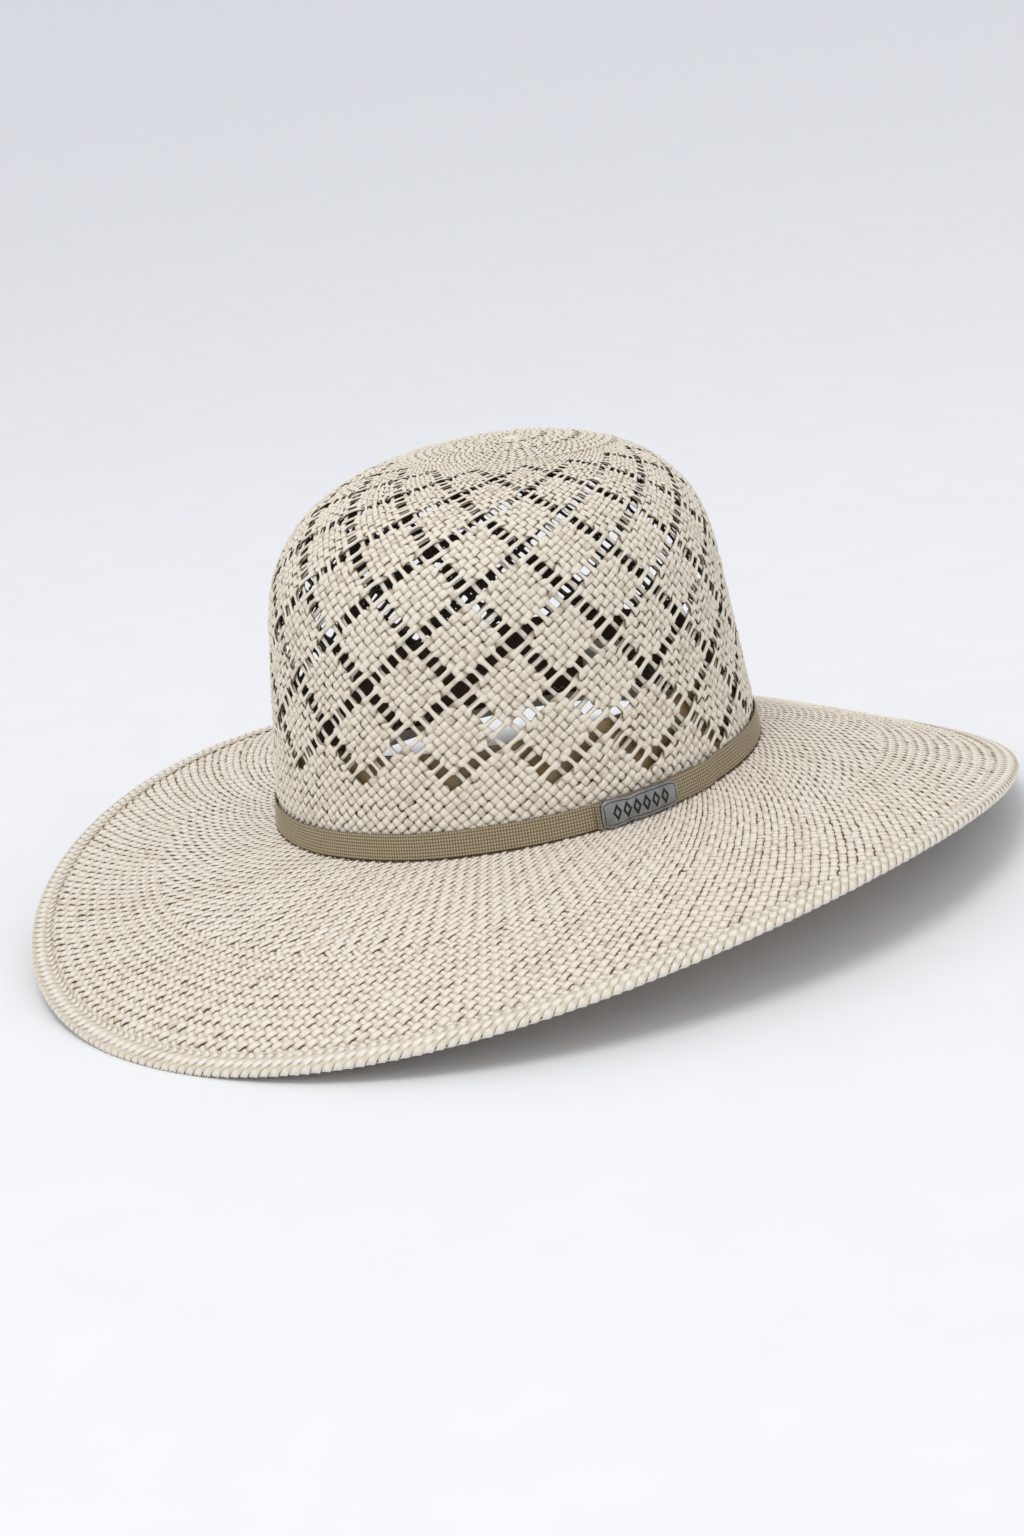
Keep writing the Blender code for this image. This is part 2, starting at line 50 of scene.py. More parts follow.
CROWN_HALF_WIDTH = 0.0847
CROWN_HALF_LENGTH = 0.1033
CROWN_HEIGHT = 0.1277
CROWN_TAPER = 0.151
SHOULDER_HEIGHT = 0.0698
DOME_POWER = 2.73
BRIM_WIDTH = 0.0988
BRIM_WIDTH_WAVE = 0.0022
BRIM_DROP = 0.0268
BRIM_DROP_WAVE = 0.0151
BRIM_STRAIGHTNESS = 0.75
BAND_HEIGHT = 0.0096
STRAW_THICKNESS = 0.0012
BRIM_ROOT_OFFSET = 0.001
BRIM_ROOT_HEIGHT = -0.0008
BAND_LINE_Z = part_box("crown")[1].z - CROWN_HEIGHT
MEAN_RADIUS = (CROWN_HALF_WIDTH + CROWN_HALF_LENGTH) / 2
CROWN_FOOT = -0.003  # height at which the crown's straw starts, under the band
WEAVE_MARGIN = 0.004  # the brim's weave ends this far inside its outline, between the fold's two sides
BRIM_SLOPE_GAIN = 1.04  # the brim slopes, so it is a little longer than its offset
MM = 0.001


def full_turn(count):
    """This many equal angles, once round."""
    return np.linspace(0, math.tau, count + 1)[:-1]


def oval(angle, offset, height):
    """Points at these angles from the front, this far outside the crown's side, above the band line."""
    scale = 1 - CROWN_TAPER * np.maximum(height, 0.0) / CROWN_HEIGHT
    across = CROWN_HALF_WIDTH * scale + offset
    along = CROWN_HALF_LENGTH * scale + offset
    rise = BAND_LINE_Z + height
    return np.stack(np.broadcast_arrays(across * np.sin(angle), -along * np.cos(angle), rise), -1)


def brim_reach(angle):
    return BRIM_WIDTH + BRIM_WIDTH_WAVE * np.cos(2 * angle)


def brim(angle, offset, lift=0.0):
    """Points on the brim's middle surface, or lifted square to it: a straight fall that bends downwards."""
    drop = BRIM_DROP + BRIM_DROP_WAVE * np.cos(2 * angle) + BRIM_ROOT_HEIGHT
    reach = brim_reach(angle) - BRIM_ROOT_OFFSET
    share = (offset - BRIM_ROOT_OFFSET) / reach
    fall = drop * (BRIM_STRAIGHTNESS * share + (1 - BRIM_STRAIGHTNESS) * share**2)
    slope = drop * (BRIM_STRAIGHTNESS + 2 * (1 - BRIM_STRAIGHTNESS) * share) / reach
    square = np.hypot(1, slope)
    return oval(angle, offset + lift * slope / square, BRIM_ROOT_HEIGHT - fall + lift / square)


def crown_profile():
    """The crown's profile: its conformal run (0 at the band line), height and share of the band's size."""
    low = np.linspace(CROWN_FOOT, SHOULDER_HEIGHT, 90)
    turn = np.linspace(0, math.pi / 2, 500)[1:-1]
    near_top = math.pi / 2 - np.geomspace(1e-4, 0.3, 300)
    turn = np.unique(np.concatenate([turn, near_top]))
    rise = np.sin(turn) ** (2 / DOME_POWER)
    spread = np.cos(turn) ** (2 / DOME_POWER)
    heights = np.concatenate([low, SHOULDER_HEIGHT + (CROWN_HEIGHT - SHOULDER_HEIGHT) * rise])
    shares = 1 - CROWN_TAPER * np.maximum(heights, 0) / CROWN_HEIGHT
    shares[len(low) :] *= spread
    radii = MEAN_RADIUS * shares
    steps = np.hypot(np.diff(radii), np.diff(heights)) * 2 / (radii[1:] + radii[:-1])
    run = np.concatenate([[0.0], np.cumsum(steps)])
    run -= np.interp(0.0, heights, run)
    return run, heights, shares


CROWN_RUN, CROWN_HEIGHTS, CROWN_SHARES = crown_profile()

# ---- the crown's weave pattern

CROWN_SLOTS = 128
VENT_EVERY = 8
VENT_ROWS = 9
ROW_ANGLE = math.pi / 16
FIRST_VENT_ANGLE = 0.2256
FIRST_VENT_RUN = 0.1917
ROW_RUN = 0.181
ROW_DRIFT = 0.0158
POLE_SHIFT = -0.0605 + 0.0016j
POLE_TURN = 0.0799 - 0.0374j
STEP_ANGLE_A = (ROW_ANGLE + ROW_DRIFT) / VENT_EVERY
STEP_ANGLE_B = -(ROW_ANGLE - ROW_DRIFT) / VENT_EVERY
STEP_RUN = ROW_RUN / VENT_EVERY


def pattern_to_crown(angle, run):
    """The weave's centre lies off the crown's, so its rows stand nearer the band on one side."""
    plane = np.exp(-run + 1j * angle)
    plane = (plane + POLE_SHIFT) / (1 + np.conj(POLE_TURN) * plane)
    return np.angle(plane), -np.log(np.abs(plane))


def crown_surface(angle, run):
    """The middle of the crown's weave at pattern coordinates."""
    turn, climb = pattern_to_crown(angle, run)
    height = np.interp(climb, CROWN_RUN, CROWN_HEIGHTS)
    share = np.interp(climb, CROWN_RUN, CROWN_SHARES)
    across = CROWN_HALF_WIDTH * share
    along = CROWN_HALF_LENGTH * share
    return np.stack([across * np.sin(turn), -along * np.cos(turn), BAND_LINE_Z + height], -1)


def brim_run(offset):
    """The brim's conformal run out to an offset."""
    return np.log((MEAN_RADIUS + offset) / MEAN_RADIUS) * BRIM_SLOPE_GAIN


def to_outline(angle, offset):
    """The offset stretched so that the weave ends along the brim's outline at every angle."""
    share = offset / (BRIM_WIDTH - WEAVE_MARGIN)
    return share * (brim_reach(angle) - WEAVE_MARGIN)


def brim_surface(angle, run):
    """The middle of the brim's weave at pattern coordinates."""
    offset = MEAN_RADIUS * (np.exp(run / BRIM_SLOPE_GAIN) - 1)
    return brim(angle, to_outline(angle, offset))


# ---- mesh building


def add_object(name, data):
    made = bpy.data.objects.new(name, data)
    bpy.context.scene.collection.objects.link(made)
    return made


class Bundle:
    """Many closed tubes that become one mesh."""

    def __init__(self):
        self.points, self.faces, self.count = [], [], 0
        self.fibre, self.inner, self.sunk = [], [], []

    def add_tube(self, rings, fibre, closed=False, inner=None, sunk=None):
        """A tube through rings of points: closed into a hoop, or with a cap at each end."""
        rows, sides = rings.shape[:2]
        index = np.arange(rows * sides).reshape(rows, sides) + self.count
        if closed:
            index = np.vstack([index, index[:1]])
        right = np.roll(index, -1, axis=1)
        quads = np.stack([index[:-1], right[:-1], right[1:], index[1:]], -1).reshape(-1, 4)
        self.faces += quads.tolist()
        if not closed:
            self.faces += [index[0][::-1].tolist(), index[-1].tolist()]
        self.points.append(rings.reshape(-1, 3))
        self.fibre.append(fibre.reshape(-1, 3))
        inner = np.zeros(sides) if inner is None else inner
        sunk = np.zeros((rows, sides)) if sunk is None else sunk
        self.inner.append(np.tile(inner, rows))
        self.sunk.append(sunk.ravel())
        self.count += rows * sides

    def build(self, name):
        mesh = bpy.data.meshes.new(name)
        points = np.concatenate(self.points)
        mesh.from_pydata(points, [], self.faces)
        data = mesh.attributes.new("fibre", "FLOAT_VECTOR", "POINT").data
        data.foreach_set("vector", np.concatenate(self.fibre).astype(np.float32).ravel())
        for label, values in (("inner", self.inner), ("sunk", self.sunk)):
            data = mesh.attributes.new(label, "FLOAT", "POINT").data
            data.foreach_set("value", np.concatenate(values).astype(np.float32))
        mesh.polygons.foreach_set("use_smooth", np.ones(len(mesh.polygons), bool))
        mesh.update()
        return add_object(name, mesh)


def tube_piece(name, rings, fibre, closed=False):
    """An object that is one tube."""
    bundle = Bundle()
    bundle.add_tube(rings, fibre, closed)
    return bundle.build(name)


def fibre_of(rings, *values):
    """What each point tells its material: mostly its place along, its place across, and a third value."""
    fibre = np.zeros(rings.shape)
    for place, value in enumerate(values):
        fibre[..., place] = value
    return fibre


def surface_frame(surface, angle, run, slot, facing=1):
    """Points of a surface, its outward directions, and the cells that strands this far apart leave."""
    step = 2e-4  # of pattern, either way, for the slopes
    point = surface(angle, run)
    round_it = (surface(angle + step, run) - surface(angle - step, run)) / (2 * step)
    along = (surface(angle, run + step) - surface(angle, run - step)) / (2 * step)
    out = facing * np.cross(round_it, along)
    out /= np.linalg.norm(out, axis=-1, keepdims=True)
    size = (np.linalg.norm(round_it, axis=-1) + np.linalg.norm(along, axis=-1)) / 2
    return point, out, size * slot / math.sqrt(2)


def unit(vectors):
    return vectors / np.linalg.norm(vectors, axis=-1, keepdims=True)


def smooth(low, high, value):
    share = np.clip((value - low) / (high - low), 0, 1)
    return share * share * (3 - 2 * share)


SAMPLES = 3  # rings of points from one crossing to the next, in every weave


def wander(count, spread):
    """Smooth random numbers along a strand, with a new value at each crossing."""
    knots = RANDOM.normal(0, spread, count // SAMPLES + 3)
    place = np.arange(count) / SAMPLES
    low = place.astype(int)
    part = place - low
    part = part * part * (3 - 2 * part)
    return knots[low] * (1 - part) + knots[low + 1] * part


def sideways(point, out):
    """The direction across a strand that runs along these points."""
    return unit(np.cross(out, unit(np.gradient(point, axis=0))))


def add_strand(bundle, point, out, lift, width, depth, sides, tone, state, fullness=0.6, ground=-1.0):
    """One flattened strand along these points, raised and sunk by lift, and pressed flat at the ground.

    Fullness is the share of its depth that is above its middle.
    """
    side = sideways(point, out)
    turn = math.tau * (np.arange(sides) + 0.5) / sides
    across = np.cos(turn)
    up = np.sin(turn)
    up = np.where(up > 0, up * fullness, up * (1 - fullness))
    rings = (
        point[:, None]
        + side[:, None] * (width[:, None] / 2 * across)[..., None]
        + out[:, None] * (lift[:, None] + depth[:, None] * up)[..., None]
    )
    rings[..., 2] = np.maximum(rings[..., 2], ground)
    steps = np.linalg.norm(np.diff(point, axis=0), axis=1)
    run = np.concatenate([[0.0], np.cumsum(steps)]) / MM
    fibre = fibre_of(rings, run[:, None], across, tone)
    # Sunk is how far a point lies under the crossing strand on its side; the straw's material paints shadow
    # there.
    sunk = (1 - state[:, None] * np.sign(up)) / 2
    # Inner marks the points on a strand's inner side, where the crown's material paints shade.
    bundle.add_tube(rings, fibre, inner=(up < 0).astype(float), sunk=sunk)


def weave_state(crossings, missing=None):
    """+1 where a strand passes over at whole crossings, -1 where it passes under."""
    state = np.where(crossings % 2 == 0, 1.0, -1.0)
    if missing is not None:
        state = np.where(missing, -state, state)
    return state


def brim_state(crossings, rows, number, way):
    """The strands that lean one way lie on top: floats over two near the crown, over one at the edge."""
    crossed = number if way < 0 else number + crossings
    floats = (crossings + crossed) % 3 != 2
    plain = crossings % 2 == 0
    outer = crossings > rows * PLAIN_SHARE
    over = np.where(outer, plain, floats)
    return np.where(over, 1.0, -1.0) * -way


def interpolate_state(places, state, first):
    """Height between whole crossings, as a smooth wave."""
    low = np.floor(places).astype(int)
    part = places - low
    part = (1 - np.cos(math.pi * part)) / 2
    index = np.clip(low - first, 0, len(state) - 2)
    return state[index] * (1 - part) + state[index + 1] * part


# ---- crown

CROWN_SIDES = 8
CROWN_PIECES = 8
FIRST_CROSSING = -20  # counted from the lowest row of vents
TIP_RUN = 2.02  # where the crown's strands end and the tip's begin
CROWN_FOOT_RUN = 0.012
SHOULDER_RUN = (0.095, 0.15)  # the weave is pressed flat below this, behind the ribbon
TOP_RUN = (1.5, 1.95)  # the strands narrow over this
VENT_OPENING = 0.21  # how far the strands beside a vent stand back from it, in slots
PAIR_SHIFT = {2: 0.42, 3: -0.42, 5: 0.42, 6: -0.42}  # strands that close up in pairs across a vent
PAIR_REACH = (0.7, 1.7)  # crossings from a vent over which a pair closes up
BAR_REACH = (0.55, 1.05)  # crossings from a vent over which a strand narrows to a bar
PAIR_BAR = 0.46  # widths, depths, lifts and shifts are in cells, the space that the pattern gives a strand
LONE_BAR = 0.60
CROWN_WIDTH = (0.78, 0.15, 0.08)  # in a trough, more at a crest, less at the top
CROWN_DEPTH = (0.27, 0.05)  # in a trough, more at a crest
CROWN_LIFT = 0.20
BAR_SINK = 0.06
BAND_SINK = 0.0004  # in metres
BAND_FLATNESS = (0.4, 0.6)  # what lift and depth keep behind the ribbon
CROWN_SPREAD = 0.04  # random spreads: of strand widths, of width along a strand, of place and of lift
CROWN_WIDTH_WANDER = 0.085
CROWN_SIDE_WANDER = 0.065
CROWN_LIFT_WANDER = 0.04


def crown_strand(bundle, number, way):
    """One full strand: way +1 climbs to the wearer's left, -1 to the right."""
    per_step = STEP_ANGLE_A if way > 0 else STEP_ANGLE_B
    slot = math.tau / CROWN_SLOTS
    last = int((TIP_RUN - FIRST_VENT_RUN) / STEP_RUN) + 1
    top_row = VENT_ROWS * VENT_EVERY
    whole = np.arange(FIRST_CROSSING - 1, last + 2)
    crossed = number + way * whole
    missing = (crossed % VENT_EVERY == 0) & (whole >= 0) & (whole <= top_row)
    over = weave_state(whole if way > 0 else whole + 1, missing)
    places = np.arange(FIRST_CROSSING, last, 1 / SAMPLES)
    rank = number % VENT_EVERY
    shift = PAIR_SHIFT.get(rank, 0.0)
    distance = np.abs(places[:, None] - whole[missing][None, :]).min(axis=1)
    closing = shift * (1 - smooth(*PAIR_REACH, distance))
    if rank:
        inside_rows = smooth(-2.0, 1.0, places) * (1 - smooth(-1.0, 2.0, places - top_row))
        closing = closing + VENT_OPENING * (1 - 2 * rank / VENT_EVERY) * inside_rows
    angle = FIRST_VENT_ANGLE + slot * (number + closing) + per_step * (places - way * closing)
    run = FIRST_VENT_RUN + STEP_RUN * (places - way * closing)
    climb = pattern_to_crown(angle, run)[1]
    keep = climb > CROWN_FOOT_RUN
    parts = [keep]
    if not rank:
        parts = [keep & (places < -0.6), keep & (places > top_row + 0.6)]
    tone = RANDOM.random()
    broad = RANDOM.normal(1.0, CROWN_SPREAD)
    bar = PAIR_BAR if shift else LONE_BAR
    for part in parts:
        if part.sum() < 3:
            continue
        state = interpolate_state(places[part], over, FIRST_CROSSING - 1)
        near_gap = 1 - smooth(*BAR_REACH, distance[part])
        add_crown_strand(bundle, angle[part], run[part], climb[part], state, near_gap, bar, broad, tone)


def add_crown_strand(bundle, angle, run, climb, state, near_gap, bar, broad, tone):
    """One unbroken length of the crown's straw, which narrows to a bar where it crosses a vent."""
    point, out, cell = surface_frame(crown_surface, angle, run, math.tau / CROWN_SLOTS)
    free = smooth(*SHOULDER_RUN, climb)
    crest = (state + 1) / 2
    keep_lift, keep_depth = BAND_FLATNESS
    lift = cell * CROWN_LIFT * state * (keep_lift + (1 - keep_lift) * free) - STRAW_THICKNESS / 2
    lift -= BAND_SINK * (1 - free)
    lift = lift - BAR_SINK * cell * near_gap
    trough_width, crest_width, top_width = CROWN_WIDTH
    full = (trough_width + crest_width * crest - top_width * smooth(*TOP_RUN, climb)) * broad
    width = cell * (full + (bar - full) * near_gap)
    width *= 1 + wander(len(run), CROWN_WIDTH_WANDER)
    trough_depth, crest_depth = CROWN_DEPTH
    depth = cell * (trough_depth + crest_depth * crest) * (keep_depth + (1 - keep_depth) * free)
    shift = wander(len(run), CROWN_SIDE_WANDER) * cell * (1 - 0.7 * near_gap)
    point = point + sideways(point, out) * shift[:, None]
    lift = lift + wander(len(run), CROWN_LIFT_WANDER) * cell * free
    shade = np.maximum(state, 2 * near_gap - 1)
    add_strand(bundle, point, out, lift, width, depth, CROWN_SIDES, tone, shade)


def woven(name, pieces, slots, strand):
    """Objects that share out the strands of a weave, of both directions."""
    made = []
    for piece in range(pieces):
        bundle = Bundle()
        for number in range(piece * slots // pieces, (piece + 1) * slots // pieces):
            strand(bundle, number, 1)
            strand(bundle, number, -1)
        made.append(bundle.build(f"{name}_{piece + 1}"))
    return made


def make_crown(straw):
    for obj in [*woven("crown_straw", CROWN_PIECES, CROWN_SLOTS, crown_strand), make_tip()]:
        dress(obj, straw, "straw", "crown")


TIP_STEPS = ((64, 2.5), (32, 3.2), (16, 4.6))  # strands each way, and the run to which they reach
TIP_OVERLAP = 0.06
STEP_OVERLAP = 0.08
TIP_WIDTH = (0.64, 0.12)
TIP_DEPTH = 0.24
TIP_LIFT = 0.17
TIP_WIDTH_WANDER = 0.05
KNOB_SIDES = 16
KNOB_OVERLAP = 0.15
KNOB_CENTRE_RUN = 6.0  # beyond its rim, where the surface is all but a point
KNOB_PROFILE = ((1.0, -0.0012), (1.0, -0.0006), (0.75, -0.0002), (0.4, 0.0), (0.02, 0.0))  # share and rise


def make_tip():
    """The crown's centre, where the strands halve in number three times."""
    bundle = Bundle()
    start = TIP_RUN - TIP_OVERLAP
    trough_width, crest_width = TIP_WIDTH
    for slots, end in TIP_STEPS:
        slot = math.tau / slots
        count = int((end - start) / (slot / 2)) + 1
        places = np.arange(0, count + 1e-6, 1 / SAMPLES)
        whole = np.arange(-1, count + 3)
        for number in range(slots):
            for way in (1, -1):
                angle = slot * number + way * places * slot / 2
                run = start + places * slot / 2
                point, out, cell = surface_frame(crown_surface, angle, run, slot)
                over = weave_state(whole if way > 0 else whole + 1)
                state = interpolate_state(places, over, -1)
                lift = cell * TIP_LIFT * state - STRAW_THICKNESS / 2
                width = cell * (trough_width + crest_width * (state + 1) / 2)
                width *= 1 + wander(len(places), TIP_WIDTH_WANDER)
                depth = cell * TIP_DEPTH
                add_strand(bundle, point, out, lift, width, depth, CROWN_SIDES, RANDOM.random(), state)
        start = end - STEP_OVERLAP
    add_knob(bundle, TIP_STEPS[-1][1])
    return bundle.build("crown_straw_centre")


def add_knob(bundle, run):
    """The small disc of straw in the middle of the tip."""
    centre = crown_surface(np.zeros(1), np.full(1, run + KNOB_CENTRE_RUN))[0]
    rim = crown_surface(full_turn(KNOB_SIDES), np.full(KNOB_SIDES, run - KNOB_OVERLAP))
    rings = []
    for share, rise in KNOB_PROFILE:
        ring = centre + (rim - centre) * share
        ring[:, 2] += rise
        rings.append(ring)
    rings = np.array(rings)
    bundle.add_tube(rings, fibre_of(rings, np.arange(len(rings))[:, None], 0.0, 0.5))


# ---- brim

BRIM_SLOTS = 240
BRIM_SIDES = 6
BRIM_PIECES = 8
PLAIN_SHARE = 0.58  # beyond this part of its way a strand floats over one crossing, not two
TOP_STRAND = (1.0, 0.05, 0.24, 0.04)  # width, width at a crest, depth and lift, in cells
UNDER_STRAND = (0.78, 0.04, 0.17, -0.05)
BRIM_FULLNESS = 0.55
BRIM_WAVE = 0.11
BRIM_SPREAD = 0.05  # random spreads: of strand widths, of width along a strand, of lift and of place
BRIM_WIDTH_WANDER = 0.09
BRIM_LIFT_WANDER = 0.02
BRIM_SIDE_WANDER = 0.07
BRIM_END_MARGIN = 0.0045
CORE_START = 0.001
CORE_MARGIN = 0.005
CORE_HALF_THICKNESS = 0.00008
COLLAR_TURN = 0.003  # radius of the bend from the brim up into the collar
COLLAR_TURN_HEIGHT = 0.0022
COLLAR_STRAIGHT = 0.007
COLLAR_OFFSET = -0.002
COLLAR_HEIGHT = 0.012
COLLAR_THICKNESS = 0.0009
FOLD_SLOTS = 300
FOLD_PIECES = 2
FOLD_RADIUS = 0.0013
FOLD_REACH = 0.0075
FOLD_CENTRE = -0.0017
FOLD_CLOSE = -0.004  # inwards of this the fold's two sides draw together
FOLD_CLOSING = 0.25
FOLD_START = 0.02
FOLD_WAVE = 0.05
FOLD_EXTRA_WIDTH = 0.1
FOLD_FLATNESS = 0.72
FOLD_LOWEST = 0.0004  # height of a strand's middle where the brim is lowest
FOLD_GROUND = 0.00005  # height of its underside there


def leaning_strand(surface, slots, number, way, places, over, wave, extra_width):
    """Points, outward directions, state, size of cell, lift, width and depth of a brim or fold strand."""
    slot = math.tau / slots
    angle = slot * number + way * places * slot / 2
    point, out, cell = surface_frame(surface, angle, places * slot / 2, slot, -1)
    state = interpolate_state(places, over, -1)
    broad, swell, deep, raised = TOP_STRAND if way < 0 else UNDER_STRAND
    lift = cell * (wave * state + raised)
    width = cell * (broad + extra_width + swell * state) * RANDOM.normal(1.0, BRIM_SPREAD)
    width *= 1 + wander(len(places), BRIM_WIDTH_WANDER)
    return point, out, state, cell, lift, width, cell * deep


def brim_strand(bundle, number, way):
    last = brim_run(BRIM_WIDTH - BRIM_END_MARGIN) / (math.pi / BRIM_SLOTS)
    places = np.arange(0, last, 1 / SAMPLES)
    over = brim_state(np.arange(-1, int(last) + 3), last, number, way)
    point, out, state, cell, lift, width, depth = leaning_strand(
        brim_surface, BRIM_SLOTS, number, way, places, over, BRIM_WAVE, 0.0
    )
    lift = lift + wander(len(places), BRIM_LIFT_WANDER) * cell
    shift = wander(len(places), BRIM_SIDE_WANDER) * cell
    point = point + sideways(point, out) * shift[:, None]
    add_strand(bundle, point, out, lift, width, depth, BRIM_SIDES, RANDOM.random(), state, BRIM_FULLNESS)


def make_brim(straw):
    for obj in woven("brim_straw", BRIM_PIECES, BRIM_SLOTS, brim_strand):
        dress(obj, straw, "brim_straw", "brim")


def make_brim_core(paint):
    """A dark sheet in the middle of the double straw, whose colour is painted shade seen only down the
    small holes, and the brim's collar in the same colour.
    """
    bundle = Bundle()
    turns = full_turn(240)
    offsets = np.linspace(CORE_START, BRIM_WIDTH - CORE_MARGIN, 20)
    rows = [brim(turns, to_outline(turns, offset), CORE_HALF_THICKNESS) for offset in offsets]
    rows += [brim(turns, to_outline(turns, offset), -CORE_HALF_THICKNESS) for offset in offsets[::-1]]
    rings = np.array(rows).transpose(1, 0, 2)
    bundle.add_tube(rings, fibre_of(rings), closed=True)
    bend = np.linspace(-0.5 * math.pi, -math.pi, 7)
    offsets = np.concatenate([CORE_START + COLLAR_TURN * np.cos(bend), [COLLAR_OFFSET, COLLAR_OFFSET]])
    heights = np.concatenate(
        [COLLAR_TURN_HEIGHT + COLLAR_TURN * np.sin(bend), [COLLAR_STRAIGHT, COLLAR_HEIGHT]]
    )
    rings = bent_strip(turns, offsets, heights, COLLAR_THICKNESS)
    bundle.add_tube(rings, fibre_of(rings), closed=True)
    dress(bundle.build("brim_core"), paint, "brim_straw", "brim")


def bent_strip(turns, offsets, heights, thickness):
    """Rings of a strip round the hat whose section follows this path."""
    path = np.stack([offsets, heights], -1)
    along = unit(np.gradient(path, axis=0))
    square = np.stack([along[:, 1], -along[:, 0]], -1) * thickness / 2
    outline = np.concatenate([path + square, (path - square)[::-1]])
    return np.array([oval(turns, offset, height) for offset, height in outline]).transpose(1, 0, 2)


def fold_profile():
    """Offset and lift along the U of the folded edge, from its upper inner end to its lower one."""
    inner = FOLD_CENTRE - (FOLD_REACH - FOLD_RADIUS)
    flat = np.linspace(inner, FOLD_CENTRE, 14)
    turn = np.linspace(math.pi / 2, -math.pi / 2, 22)[1:-1]
    side = np.full_like(flat, FOLD_RADIUS)
    offsets = np.concatenate([flat, FOLD_CENTRE + FOLD_RADIUS * np.cos(turn), flat[::-1]])
    lifts = np.concatenate([side, FOLD_RADIUS * np.sin(turn), -side])
    lifts = lifts * (1 - FOLD_CLOSING * smooth(FOLD_CLOSE, inner, offsets))
    steps = np.hypot(np.diff(offsets), np.diff(lifts))
    return np.concatenate([[0.0], np.cumsum(steps)]), offsets, lifts


FOLD_RUN, FOLD_OFFSETS, FOLD_LIFTS = fold_profile()
EDGE_RADIUS = MEAN_RADIUS + BRIM_WIDTH


def fold_surface(angle, run):
    """The middle of the fold's weave at pattern coordinates, kept off the ground."""
    place = run * EDGE_RADIUS
    offset = np.interp(place, FOLD_RUN, FOLD_OFFSETS)
    lift = np.interp(place, FOLD_RUN, FOLD_LIFTS)
    point = brim(angle, brim_reach(angle) + offset, lift)
    point[..., 2] = np.maximum(point[..., 2], FOLD_LOWEST)
    return point


def fold_strand(bundle, number, way):
    last = FOLD_RUN[-1] / EDGE_RADIUS / (math.pi / FOLD_SLOTS)
    places = np.arange(FOLD_START, last, 1 / SAMPLES)
    over = weave_state(np.arange(-1, int(last) + 3)) * -way
    point, out, state, _, lift, width, depth = leaning_strand(
        fold_surface, FOLD_SLOTS, number, way, places, over, FOLD_WAVE, FOLD_EXTRA_WIDTH
    )
    depth *= FOLD_FLATNESS
    sides, tone = BRIM_SIDES, RANDOM.random()
    add_strand(bundle, point, out, lift, width, depth, sides, tone, state, BRIM_FULLNESS, FOLD_GROUND)


def make_fold(straw):
    for obj in woven("brim_edge_straw", FOLD_PIECES, FOLD_SLOTS, fold_strand):
        dress(obj, straw, "brim_straw", "brim_edge_fold")


# ---- hatband ribbon and plaque

RIBBON_THICKNESS = 0.0005
RIBBON_OFFSET = 0.00065
OVERLAP_OFFSET = 0.00205
RIBBON_BOTTOM = 0.0003
PLAQUE_BACK = 0.0026
PLAQUE_THICKNESS = 0.001
PLAQUE_START = math.radians(66)
PLAQUE_END = math.radians(85)
PLAQUE_MIDDLE = RIBBON_BOTTOM + BAND_HEIGHT / 2
RIBBON_END = PLAQUE_START - math.radians(0.8)
RIBBON_START = PLAQUE_END + math.radians(7.5)
RIB_PITCH = 0.00105
RIB_SAMPLES = 4
RIBBON_ROWS = 8
RIB_RELIEF = 0.00008
ROW_RELIEF = 0.00004
RIBBON_EDGE_SHARE = 0.06  # of its height, rounded off at each edge
RIBBON_EDGE_THINNESS = 0.3
RIBBON_SWAY = (0.00012, 0.00008)  # slow and quick unevenness in height
CLIMB_END = math.tau - math.radians(2.5)  # travelled, where the ribbon has risen onto its own start
CLIMB_LENGTH = math.radians(5.5)
PLAQUE_END_SHARE = 0.13  # of its length, taken by each round end
PLAQUE_HALF_HEIGHT = 0.0054  # at the front lobe
PLAQUE_NARROWING = 0.0007
PLAQUE_BLUNTNESS = 0.45  # height left at the very ends
PLAQUE_LENGTH = (PLAQUE_END - PLAQUE_START) * MEAN_RADIUS
PLAQUE_CROWN = 0.0003  # how much its face bulges
PLAQUE_RIM = 0.55  # share of the thickness at the foot of the bevel
BEVEL_WIDTH = 0.0003
END_BEVEL_WIDTH = 0.0004
WAIST = (0.0006, 0.36, 0.09)  # depth, place along the plaque and spread
BORDER_INSET = 0.0011
BORDER_LINE = (0.00008, 0.00022)
DIAMOND_PITCHES = 8  # along the plaque, with one left bare at each end
DIAMOND_HALF_WIDTH = 0.42  # of a pitch
DIAMOND_HALF_HEIGHT = 0.0030
DIAMOND_RING = 0.78
DIAMOND_LINE = (0.24, 0.34)
GROOVE_DEPTH = 0.0002
RIVET_SHARES = (0.24, 0.78)
RIVET_TIP = 0.0012
RIVET_SEAT = 0.0002
RIVET_RADIUS = 0.0007
RIVET_TAPER = 0.7


def quarter_round(value):
    """Rises from 0 to 1 along a quarter of a circle."""
    return np.sqrt(np.maximum(1 - (1 - np.clip(value, 0, 1)) ** 2, 0.0))


